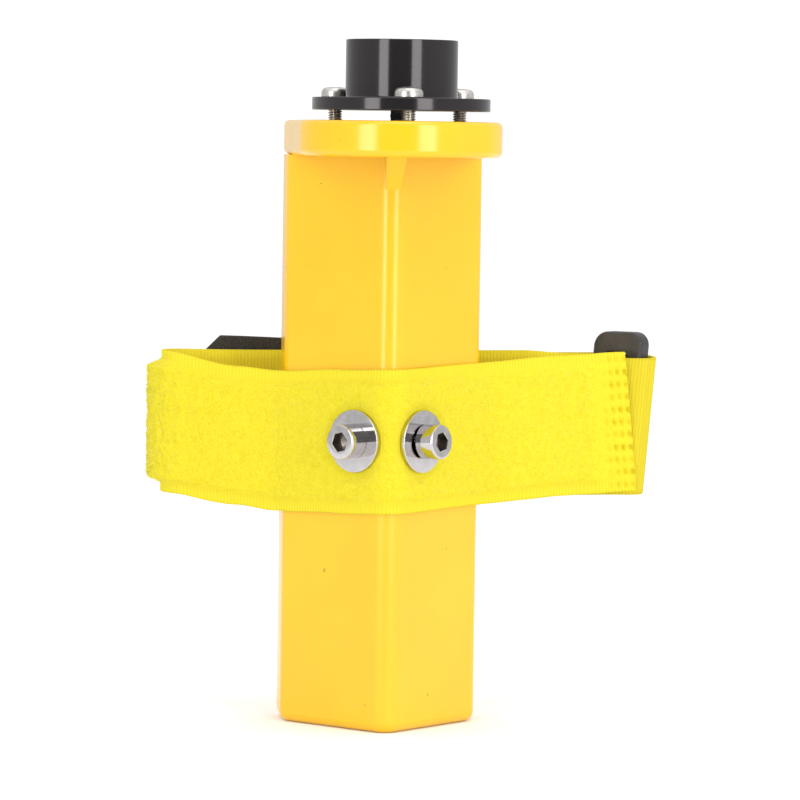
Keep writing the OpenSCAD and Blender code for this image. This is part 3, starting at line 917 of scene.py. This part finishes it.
def boltShape():
    sizes = boltSizes
    radius = sizes["headRadius"]
    top = sizes["headHeight"]
    foot = sizes["footEdge"]
    corner = sizes["socketAcross"] / math.sqrt(3)
    wide = corner + sizes["socketEdge"]
    drill = sizes["drillRadius"]
    depth = top - sizes["socketDepth"]
    outer = [Vector((radius - foot, 0)), Vector((radius, foot))]
    outer += cornerArc(Vector((radius, 0)), Vector((radius, top)), Vector((0.5, top)), sizes["edge"], 8)
    outer += [Vector((sizes["faceRadius"], top))]
    head = meshObject("socket_head", lathe([(p.x, p.y) for p in outer], 96))
    turns = [math.radians(60 * i + sizes["socketTurn"]) for i in range(6)]
    levels = [(corner, depth), (corner, top - 0.15), (wide, top + 0.1), (wide, top + 1)]
    socket = loft([[Vector((r * math.cos(t), r * math.sin(t), z)) for t in turns] for r, z in levels])
    bottom = lathe([(0.05, depth - 1.1), (drill, depth + 0.02), (drill, depth + 0.5)], 32)
    carve(head, [socket, bottom])
    thread = threadShape(sizes["threadRadius"], sizes["threadDepth"], sizes["pitch"], -sizes["length"], 0.05)
    return joined(takeShape(head), thread)


# Which faces of a bolt line its socket, where a darker steel paints the shade in the recess
def shadedSocketFaces(shape):
    verts, faces = shape
    flags = []
    for face in faces:
        middle = sum((verts[i] for i in face), Vector()) / len(face)
        inside = math.hypot(middle.x, middle.y) < boltSizes["socketAcross"] / math.sqrt(3)
        deep = 1.5 < middle.z < boltSizes["headHeight"] - 0.1
        flags.append(inside and deep)
    return flags

washerSizes = {"radius": 9.0, "holeRadius": 3.2, "thickness": 1.4, "edge": 0.25}


def makeStrapBolts():
    seat = boltSizes["strapThickness"] + washerSizes["thickness"]
    shape = boltShape()
    shapes = []
    for side in (-1, 1):
        lift = boltSizes["rightLift"] if side > 0 else 0.02
        tilt = boltSizes["rightTilt"] if side > 0 else 0
        lean = Matrix.Rotation(math.radians(tilt), 4, Vector((-0.75, 0.66, 0)))
        shapes.append(moved(shape, atBolt(side) @ Matrix.Translation((0, 0, seat + lift)) @ lean))
    bolts = meshObject("socket_bolts", joined(*shapes))
    smoothByAngle(bolts, 28)
    finishPiece(bolts, "receiver", "steel", steel, "strap_bolts")
    # The socket lining takes the darker steel: painted shade inside the sockets
    bolts.data.materials.append(shadedSocketSteel)
    for face, inShade in zip(bolts.data.polygons, shadedSocketFaces(shape) * 2):
        face.material_index = int(inShade)


def makeWashers():
    sizes = washerSizes
    low = boltSizes["strapThickness"]
    high = low + sizes["thickness"]
    hole = sizes["holeRadius"]
    edge = sizes["edge"]
    outline = [(sizes["radius"], low), (sizes["radius"], high), (hole, high), (hole, low)]
    profile = roundedOutline(outline, [edge, edge, 0.1, 0.1], 5)
    shape = lathe([(p.x, p.y) for p in profile], 128, True)
    washers = meshObject("bolt_washers", joined(*[moved(shape, atBolt(side)) for side in (-1, 1)]))
    smoothByAngle(washers, 40)
    finishPiece(washers, "receiver", "steel", steel, "strap_washers")


makeTube()
makeCap()
makeFlangeScrews()
makeStrapBolts()
makeWashers()
print("antenna, screws and washers made")


# Eases from 0 to 1 between low and high
def smoothStep(value, low, high):
    t = max(0, min(1, (value - low) / (high - low)))
    return t * t * (3 - 2 * t)


# Smooth curve through a few (distance, value) stations
def courseAt(course, along):
    if along <= course[0][0]:
        return course[0][1]
    for (a, low), (b, high) in zip(course, course[1:]):
        if along <= b:
            return low + (high - low) * smoothStep(along, a, b)
    return course[-1][1]


# The ring and the tape round it hang a little askew, with the foot towards the housing
leanSizes = {"slope": 0.08, "from": 112.0, "startX": 44.0, "fullX": 62.0}


def leaned(point):
    share = smoothStep(point.x, leanSizes["startX"], leanSizes["fullX"])
    return point + Vector((leanSizes["slope"] * (point.z - leanSizes["from"]) * share, 0, 0))


# Tape swept along a path: outer(along, across) and inner(along, across) give its two faces
def tapeShape(stations, bandAt, outer, inner, rows=52, innerRows=14, slide=None):
    rings = []
    marks = []
    for point, ahead, along in stations:
        low, high = bandAt(along)
        out = Vector((-ahead.y, ahead.x))
        faces = [(row / rows, 1) for row in range(rows + 1)]
        faces += [(1 - row / innerRows, -1) for row in range(innerRows + 1)]
        ring = []
        for share, side in faces:
            across = (share - 0.5) * (high - low)
            if side > 0:
                offset, pile, weld = outer(along, across, high - low)
            else:
                offset, pile, weld = inner(along, across), 0.0, 0.0
            place = point + out * (side * offset)
            if slide:
                place += ahead * slide(along, across)
            ring.append(leaned(Vector((place.x, place.y, low + (high - low) * share))))
            marks.append((along, across, pile, weld))
        rings.append(ring)
    return loft(rings), marks


def tapeObject(name, shapeAndMarks):
    shape, marks = shapeAndMarks
    obj = meshObject(name, shape)
    attribute = obj.data.attributes.new("tape", "FLOAT_VECTOR", "POINT")
    attribute.data.foreach_set("vector", [c for mark in marks for c in mark[:3]])
    weld = obj.data.attributes.new("weld", "FLOAT", "POINT")
    weld.data.foreach_set("value", [mark[3] for mark in marks])
    obj.data.shade_smooth()
    return obj


# The rise is that of the tape's middle above its straight course, by distance from the ring end.
# The low rise lifts only the low edge, on the way from the left V face to the fold.
strapSizes = {
    "points": [(73.9, 21), (60, 18), (46, 12), (29.8, 5.81), (0, -23.988), (-29.8, 5.81),
               (-46, 11.4), (-62.3, 13.4), (-63.1, 33.6), (20, 31.2), (60, 29.2)],
    "radii": [0, 30, 30, 8, 6.1, 8, 30, 8, 8, 60, 0],
    "low": 63.65,
    "width": 41.5,
    "thickness": 1.2,
    "spacing": 0.4,
    "pile": 1.25,
    "foldPile": 4.0,
    "foldReach": 13,
    "foldPlace": (-62.7, 23),
    "boltClearance": (8.3, 12.5),
    "wrapPress": 0.95,
    "selvedge": 3.0,
    "rib": 0.05,
    "ribPitch": 1.0,
    "rise": [(0, 3.1), (21, 2.0), (51, 0.3), (87, -0.4), (105, -1.1), (129, -2.5), (141, -1.6),
             (163, 2.3), (195, 2.0), (270, 2.7), (294, 3.0), (301, 3.6)],
    "lowRise": [(105, 0), (129, 0.6), (141, 1.0), (155, 0.5), (163, 0)],
    "endSlant": 0.19,
    "narrowFrom": 282.0,
    "narrowTo": 299.0,
}
wrapSizes = {"strapWrap": 5.2, "tabWrap": 5.0, "barOffset": 5.75, "ringTurn": 36.5}
ringCentre = Vector(((ringLow.x + ringHigh.x) / 2, (ringLow.y + ringHigh.y) / 2))
ringTurn = math.radians(wrapSizes["ringTurn"])
ringAlong = Vector((math.cos(ringTurn), -math.sin(ringTurn)))
leftBar = ringCentre - wrapSizes["barOffset"] * ringAlong
rightBar = ringCentre + wrapSizes["barOffset"] * ringAlong
narrowBand = (tailLow.z, tailHigh.z)


def strapPath():
    front = roundedPath(strapSizes["points"], strapSizes["radii"])
    wrap = arcPath(leftBar, wrapSizes["strapWrap"], -118, 84, 24)
    return evenPath(front + wrap[1:], strapSizes["spacing"])


# Low and high edge of a tape that narrows to the ring's slot by a share from 0 to 1
def narrowed(low, high, share):
    return low + (narrowBand[0] - low) * share, high + (narrowBand[1] - high) * share


def strapBand(along):
    rise = courseAt(strapSizes["rise"], along)
    narrow = smoothStep(along, strapSizes["narrowFrom"], strapSizes["narrowTo"])
    low = strapSizes["low"] + rise + courseAt(strapSizes["lowRise"], along)
    return narrowed(low, strapSizes["low"] + strapSizes["width"] + rise, narrow)


weldSizes = {
    "rows": 11,
    "rowPitch": 3.72,
    "columnPitch": 2.3,
    "columnFades": (1, 1, 0.9, 0.5),
    "faintFrom": 7,
    "faintFade": 0.15,
    "first": 0.7,
    "end": 14,
    "depth": 0.8,
    "halfLength": 0.75,
    "halfHeight": 1.05,
}


# How deep the welds have pressed the tape at a point near the ring end, from 0 to 1
def weldDent(along, across):
    sizes = weldSizes
    if along > sizes["end"]:
        return 0
    rowPlace = across / sizes["rowPitch"] + (sizes["rows"] - 1) / 2
    row = round(rowPlace)
    columnPlace = (along - sizes["first"]) / sizes["columnPitch"]
    column = round(columnPlace)
    columns = len(sizes["columnFades"])
    if not (0 <= row < sizes["rows"] and 0 <= column < columns):
        return 0
    dz = (rowPlace - row) * sizes["rowPitch"] / sizes["halfHeight"]
    ds = (columnPlace - column) * sizes["columnPitch"] / sizes["halfLength"]
    faint = column == columns - 1 and row >= sizes["faintFrom"]
    fade = sizes["faintFade"] if faint else sizes["columnFades"][column]
    fade *= 0.8 + 0.2 * math.sin(row * 2.3 + column)
    return fade * (1 - smoothStep(math.hypot(dz, ds), 0.45, 1.15))


def boltDistances(stations):
    found = []
    for side in (-1, 1):
        place = Vector((side * boltPlace.x, boltPlace.y))
        found.append(min(stations, key=lambda station: (station[0] - place).length)[2])
    return found


strapStations = strapPath()
boltAlongs = boltDistances(strapStations)
foldPlace = Vector(strapSizes["foldPlace"])
foldAlong = min(strapStations, key=lambda station: (station[0] - foldPlace).length)[2]


def pileHeight(along, across, width):
    sizes = strapSizes
    edge = width / 2 - abs(across)
    cover = smoothStep(edge, sizes["selvedge"] - 0.6, sizes["selvedge"] + 1.6)
    fold = math.exp(-((along - foldAlong) / sizes["foldReach"]) ** 2)
    height = sizes["pile"] + (sizes["foldPile"] - sizes["pile"]) * fold
    welded = smoothStep(along, 9.5, weldSizes["end"])
    height = height * (0.35 + 0.65 * welded)
    bandLow, bandHigh = strapBand(along)
    z = (bandLow + bandHigh) / 2 + across
    for boltAlong in boltAlongs:
        away = math.hypot(along - boltAlong, z - boltPlace.z)
        height *= smoothStep(away, *sizes["boltClearance"])
    wrapped = smoothStep(along, sizes["narrowFrom"] - 4, sizes["narrowFrom"] + 6)
    hidden = 1 - wrapped * sizes["wrapPress"]
    return height * hidden, cover


def ribAt(sizes, along):
    return sizes["rib"] * math.cos(2 * math.pi * along / sizes["ribPitch"])


def strapOuter(along, across, width):
    height, cover = pileHeight(along, across, width)
    spot = Vector((along, across, 0))
    lumps = noise.noise(spot * 0.16) * 0.2 + noise.noise(spot * 0.6) * 0.25 + noise.noise(spot * 1.7) * 0.55
    pile = height * cover * (1 + 0.36 * lumps)
    ribs = ribAt(strapSizes, along) * (1 - cover)
    weld = weldDent(along, across)
    dent = weld * min(weldSizes["depth"], pile + 0.25)
    return strapSizes["thickness"] / 2 + pile + ribs - dent, cover * min(1, 0.25 + height), weld


def strapInner(along, across):
    return strapSizes["thickness"] / 2 + ribAt(strapSizes, along) - strapSizes["rib"]


# The ring end is cut on a slant
def strapSlide(along, across):
    fade = 1 - smoothStep(along, 10, 42)
    return strapSizes["endSlant"] * (across - strapSizes["width"] / 2) * fade


pileFibres = {
    "count": 9000,
    "seed": 7,
    "from": 12.0,
    "to": 186.0,
    "width": 0.16,
    "length": (0.35, 0.9),
    "foldLength": 1.5,
    "foldReach": 9,
    "spread": 0.8,
    "leastPile": 0.35,
}


# Short loose fibres on the pile, each a slim closed spike
def fibreShapes():
    rng = random.Random(pileFibres["seed"])
    verts = []
    faces = []
    marks = []
    while len(faces) < 4 * pileFibres["count"]:
        index = rng.randrange(len(strapStations) - 1)
        point, ahead, along = strapStations[index]
        if not pileFibres["from"] < along < pileFibres["to"]:
            continue
        low, high = strapBand(along)
        across = (rng.random() - 0.5) * (high - low)
        height, cover = pileHeight(along, across, high - low)
        if height * cover < pileFibres["leastPile"]:
            continue
        out = Vector((-ahead.y, ahead.x))
        offset = strapOuter(along, across, high - low)[0] - 0.15
        base = point + out * offset + ahead * strapSlide(along, across)
        root = Vector((base.x, base.y, (low + high) / 2 + across))
        fold = math.exp(-((along - foldAlong) / pileFibres["foldReach"]) ** 2)
        length = rng.uniform(*pileFibres["length"]) + pileFibres["foldLength"] * fold * rng.random()
        spread = pileFibres["spread"]
        side = Vector((ahead.x, ahead.y, 0))
        up = Vector((0, 0, 1))
        away = Vector((out.x, out.y, 0))
        course = away + side * rng.uniform(-spread, spread) + up * rng.uniform(-spread, spread)
        tip = root + course.normalized() * length
        turn = rng.uniform(0, 2 * math.pi)
        first = len(verts)
        for i in range(3):
            angle = turn + 2 * math.pi * i / 3
            around = side * math.cos(angle) + up * math.sin(angle)
            verts.append(leaned(root + around * pileFibres["width"] / 2))
        verts.append(leaned(tip))
        faces += [(first, first + 2, first + 1), (first, first + 1, first + 3),
                  (first + 1, first + 2, first + 3), (first + 2, first, first + 3)]
        marks += [(along, across, 1.0, 0.0)] * 4
    return (verts, faces), marks


def makeStrap():
    tape, marks = tapeShape(strapStations, strapBand, strapOuter, strapInner, slide=strapSlide)
    fibres, fibreMarks = fibreShapes()
    strap = tapeObject("loop_strap", (joined(tape, fibres), marks + fibreMarks))
    finishPiece(strap, "receiver", "loop_tape", loopTape, "strap")
    strap.data.materials.append(looseFibre)
    for face in strap.data.polygons[len(tape[1]):]:
        face.material_index = 1


tabSizes = {
    "band": (65.6, 106.3),
    "front": [(61.5, 20.05), (73.9, 22.9)],
    "back": [(72.6, 25.6), (62.5, 22.2)],
    "wrapTurns": (-93, 172),
    "spacing": 0.18,
    "thickness": 1.2,
    "rib": 0.1,
    "ribPitch": 0.72,
}


def tabOuter(along, across):
    return tabSizes["thickness"] / 2 + ribAt(tabSizes, along) - tabSizes["rib"]


def makeTab():
    wrap = arcPath(rightBar, wrapSizes["tabWrap"], *tabSizes["wrapTurns"], 44)
    path = [Vector(p) for p in tabSizes["front"]] + wrap + [Vector(p) for p in tabSizes["back"]]
    stations = evenPath(path, tabSizes["spacing"])
    length = stations[-1][2]

    def band(along):
        return narrowed(*tabSizes["band"], smoothStep(along, length * 0.42, length * 0.62))

    # The path runs the other way round from the strap, so its outer face is the far one
    def near(along, across, width):
        return tabSizes["thickness"] / 2, 0.0, 0.0

    tab = tapeObject("ring_tab_tape", tapeShape(stations, band, near, tabOuter, 24, 24))
    finishPiece(tab, "receiver", "ribbed_tape", ribbedTape, "ring_tab")


tailSizes = {
    "points": [(70.3, 39.62), (69.5, 39.6), (50, 36.6), (8, 36.6)],
    "radii": [0, 0, 30, 0],
    "spacing": 0.25,
}


def makeTail():
    stations = evenPath(roundedPath(tailSizes["points"], tailSizes["radii"]), tailSizes["spacing"])

    def band(along):
        return narrowBand

    def near(along, across, width):
        return strapInner(along, across), 0.0, 0.0

    tail = tapeObject("tail_tape", tapeShape(stations, band, near, strapInner, 14, 14))
    tail.data.materials.append(ribbedTape)
    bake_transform(tail)
    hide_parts("strap_tail")


hookSizes = {
    "points": [(22, 35.4), (8, 35.4), (-20, 36), (-50, 37.4)],
    "radii": [0, 20, 60, 0],
    "spacing": 0.4,
    "height": 38.0,
    "cut": 4.5,
    "thickness": 1.2,
    "bristle": 0.35,
    "rise": 1.3,
}


def makeHookTape():
    stations = evenPath(roundedPath(hookSizes["points"], hookSizes["radii"]), hookSizes["spacing"])
    length = stations[-1][2]
    low = hookLow.z

    def band(along):
        left = length - along
        rise = hookSizes["rise"] * smoothStep(along, 20, length)
        return low + rise, low + rise + hookSizes["height"] - max(0, hookSizes["cut"] - left)

    def far(along, across):
        spot = Vector((along * 1.6, across * 1.6, 4))
        return hookSizes["thickness"] / 2 + hookSizes["bristle"] * max(0, noise.noise(spot))

    def near(along, across, width):
        spot = Vector((along * 2.2, across * 2.2, 9))
        return hookSizes["thickness"] / 2 + 0.12 * noise.noise(spot), 0.0, 0.0

    tape = tapeObject("hook_tape_pile", tapeShape(stations, band, near, far, 60, 60))
    finishPiece(tape, "tail", "hook_tape", hookPile, "hook_tape")


ringSizes = {
    "width": 16.2,
    "height": 48.6,
    "thickness": 5.6,
    "slotWidth": 6.8,
    "slotHeight": 36.4,
    "corner": 4.2,
    "slotCorner": 1.2,
    "edge": 0.9,
    "slotEdge": 0.7,
}


def makeRing():
    sizes = ringSizes
    outer = frameOutline(sizes["width"], sizes["height"], sizes["corner"])
    inner = frameOutline(sizes["slotWidth"], sizes["slotHeight"], sizes["slotCorner"])
    rings = []
    half = sizes["thickness"] / 2
    place = Matrix.Translation((ringCentre.x, ringCentre.y, (ringLow.z + ringHigh.z) / 2))
    turned = place @ Matrix.Rotation(-ringTurn, 4, "Z")
    edges = [sizes["slotEdge"], sizes["edge"], sizes["edge"], sizes["slotEdge"]]
    for a, b in zip(outer, inner):
        span = (a - b).length
        section = roundedOutline([(0, -half), (span, -half), (span, half), (0, half)], edges, 5)
        away = (a - b) / span
        spots = [Vector((b.x + away.x * p.x, p.y, b.y + away.y * p.x)) for p in section]
        rings.append([leaned(turned @ spot) for spot in spots])
    ring = meshObject("buckle_frame", loft(rings, True))
    smoothByAngle(ring, 40)
    finishPiece(ring, "ring", "black_plastic", blackPlastic, "buckle_ring")


def frameOutline(width, height, radius):
    return roundedOutline(rectangle(width / 2, height / 2), [radius] * 4, 10)


makeStrap()
makeTab()
makeTail()
makeHookTape()
makeRing()
print("strap, ring and tail made")


buttonSizes = {"stem": 1.6, "thickness": 0.8, "edge": 0.5, "rimWidth": 1.4, "dish": 0.3}


def makeButton():
    sizes = buttonSizes
    centre = (buttonLow + buttonHigh) / 2
    radius = (buttonHigh.x - buttonLow.x) / 2
    top = buttonHigh.z
    low = top - sizes["thickness"]
    rim = radius - sizes["rimWidth"]
    profile = [(sizes["stem"], buttonLow.z), (sizes["stem"], low), (radius - 0.3, low), (radius, low + 0.2),
               (radius, top - 0.35), (radius - 0.15, top - 0.1), (radius - sizes["edge"], top),
               (rim, top), (rim - 0.4, top - 0.12), (3.2, top - sizes["dish"]), (1.2, top - 0.32)]
    button = meshObject("button_cap", lathe(profile, 72, centre=(centre.x, centre.y, 0)))
    smoothByAngle(button)
    finishPiece(button, "button", "seal", seal, "power_button")


plugSizes = {
    "corner": 2.2,
    "tongueHalfWidth": 3.6,
    "tongueHalfHeight": 1.0,
    "faceDepth": 1.2,
    # Inset and depth of each ring of the cover, from its back to its face
    "levels": [(0.2, 1.35), (0, 1.1), (0, 0.35), (0.12, 0.12), (0.4, 0), (1.1, 0), (1.4, 0.15)],
}


def makePlug():
    sizes = plugSizes
    centre = (plugLow + plugHigh) / 2
    halfX = (plugHigh.x - plugLow.x) / 2
    halfZ = (plugHigh.z - plugLow.z) / 2
    face = plugHigh.y
    rings = []
    for inset, depth in sizes["levels"]:
        x = halfX - inset
        z = halfZ - inset
        outline = roundedOutline([(-x, -z), (-x, z), (x, z), (x, -z)], [sizes["corner"] - inset] * 4, 8)
        rings.append([Vector((centre.x + p.x, face - depth, centre.z + p.y)) for p in outline])
    wide = sizes["tongueHalfWidth"]
    tall = sizes["tongueHalfHeight"]
    tongue = block((centre.x - wide, plugLow.y, centre.z - tall),
                   (centre.x + wide, face - sizes["faceDepth"], centre.z + tall))
    plug = meshObject("plug_cover", loft(rings))
    carve(plug, [tongue], "UNION")
    smoothByAngle(plug)
    finishPiece(plug, "plug", "seal", seal, "port_plug")


makeButton()
makePlug()
print("controls made")


stageLook = {
    "floor": (0.96, 0.96, 0.96),
    "floorReach": 6000,
    "world": 1.08,
    "stripPower": 6.6,
    "stripSize": (0.25, 1.3),
    "stripAzimuths": (-39, 27),
    "stripDistance": 1.5,
    "stripHeight": 0.3,
    "topPower": 5.0,
    "topSize": (1.0, 1.0),
    "topPlace": (0.1, -0.3, 1.6),
    "fillPower": 4.5,
    "fillSize": (0.9, 1.2),
    "fillAzimuth": 68,
    "fillDistance": 1.6,
    "fillHeight": 0.4,
    "target": (0, 0, 0.1),
    "cardDistance": 1000.0,
    "cardHeights": (2.0, 900.0),
    # Each card's name, the azimuths it reaches between and its brightness
    "cards": [("leftCard", -180, -51, 0.75), ("leftWindow", -51, -32, 6.0), ("frontCard", -32, 14, 0.25),
              ("rightWindow", 14, 33, 6.0), ("rightCard", 33, 180, 0.75)],
}


def makeFloor():
    finish = Finish("palePaper")
    grain = finish.noise(0.02, 2)
    paper = finish.surface({
        "Base Color": finish.mix(grain, tuple(c * 0.99 for c in stageLook["floor"]), stageLook["floor"]),
        "Roughness": 0.9,
        "Specular IOR Level": 0.1,
    })
    corners = [(*p, 0) for p in rectangle(stageLook["floorReach"], stageLook["floorReach"])]
    floor = meshObject("floor", (corners, [(0, 1, 2, 3)]))
    floor.data.materials.append(paper)


def aimed(obj, place, target):
    obj.location = place
    obj.rotation_euler = (Vector(target) - Vector(place)).to_track_quat("-Z", "Y").to_euler()


def makeLight(name, place, size, power):
    light = bpy.data.lights.new(name, "AREA")
    light.shape = "RECTANGLE"
    light.size, light.size_y = size
    light.energy = power
    obj = bpy.data.objects.new(name, light)
    bpy.context.scene.collection.objects.link(obj)
    aimed(obj, place, stageLook["target"])
    return obj


def around(azimuth, distance, height):
    turn = math.radians(azimuth)
    return distance * math.sin(turn), -distance * math.cos(turn), height


# A curved card round the object that only reflections see: the bright ones make the highlights,
# and the grey ones fill the gaps between
def makeCard(name, fromAzimuth, toAzimuth, brightness):
    finish = Finish(name + "Face")
    face = finish.surface({
        "Base Color": (0, 0, 0),
        "Specular IOR Level": 0.0,
        "Emission Color": (1, 1, 1),
        "Emission Strength": brightness,
    })
    steps = max(2, round(abs(toAzimuth - fromAzimuth) / 4))
    verts = []
    for step in range(steps + 1):
        azimuth = fromAzimuth + (toAzimuth - fromAzimuth) * step / steps
        verts += [around(azimuth, stageLook["cardDistance"], z) for z in stageLook["cardHeights"]]
    faces = [(2 * i, 2 * i + 1, 2 * i + 3, 2 * i + 2) for i in range(steps)]
    card = meshObject(name, (verts, faces))
    card.data.materials.append(face)
    card.visible_camera = False
    card.visible_diffuse = False
    card.visible_shadow = False
    card.visible_transmission = False


def makeLights():
    look = stageLook
    world = bpy.data.worlds.new("whiteRoom")
    world.use_nodes = True
    background = world.node_tree.nodes["Background"]
    background.inputs["Color"].default_value = (1, 1, 1, 1)
    background.inputs["Strength"].default_value = look["world"]
    bpy.context.scene.world = world
    for side, azimuth in zip(("left", "right"), look["stripAzimuths"]):
        place = around(azimuth, look["stripDistance"], look["stripHeight"])
        strip = makeLight(side + "Strip", place, look["stripSize"], look["stripPower"])
        strip.visible_glossy = False
    place = around(look["fillAzimuth"], look["fillDistance"], look["fillHeight"])
    makeLight("rightFill", place, look["fillSize"], look["fillPower"])
    makeLight("topSoft", look["topPlace"], look["topSize"], look["topPower"])
    for name, fromAzimuth, toAzimuth, brightness in look["cards"]:
        makeCard(name, fromAzimuth, toAzimuth, brightness)
    bpy.context.scene.view_settings.view_transform = "Standard"


# The azimuth is in radians, pitch and roll in degrees, and places in metres
cameraSetup = {
    "azimuth": -0.1017,
    "distance": 1.2165,
    "aside": 0.0048,
    "height": 0.1719,
    "pitch": 3.63,
    "roll": 0.88,
    "lens": 189.0,
    "sensor": 36.0,
}


def makeCamera():
    setup = cameraSetup
    azimuth = setup["azimuth"]
    right = Vector((math.cos(azimuth), math.sin(azimuth), 0))
    ahead = Vector((-math.sin(azimuth), math.cos(azimuth), 0))
    up = Vector((0, 0, 1))
    pitch = math.radians(setup["pitch"])
    roll = math.radians(setup["roll"])
    view = ahead * math.cos(pitch) - up * math.sin(pitch)
    lifted = up * math.cos(pitch) + ahead * math.sin(pitch)
    xAxis = right * math.cos(roll) + lifted * math.sin(roll)
    yAxis = lifted * math.cos(roll) - right * math.sin(roll)
    place = -ahead * setup["distance"] + right * setup["aside"] + up * setup["height"]
    camera = bpy.data.cameras.new("camera")
    camera.lens = setup["lens"]
    camera.sensor_width = setup["sensor"]
    camera.clip_end = 50
    obj = bpy.data.objects.new("camera", camera)
    bpy.context.scene.collection.objects.link(obj)
    turn = Matrix((xAxis, yAxis, -view)).transposed().to_4x4()
    obj.matrix_world = Matrix.Translation(place) @ turn
    bpy.context.scene.camera = obj


makeFloor()
makeLights()
makeCamera()
print("stage, lights and camera made")
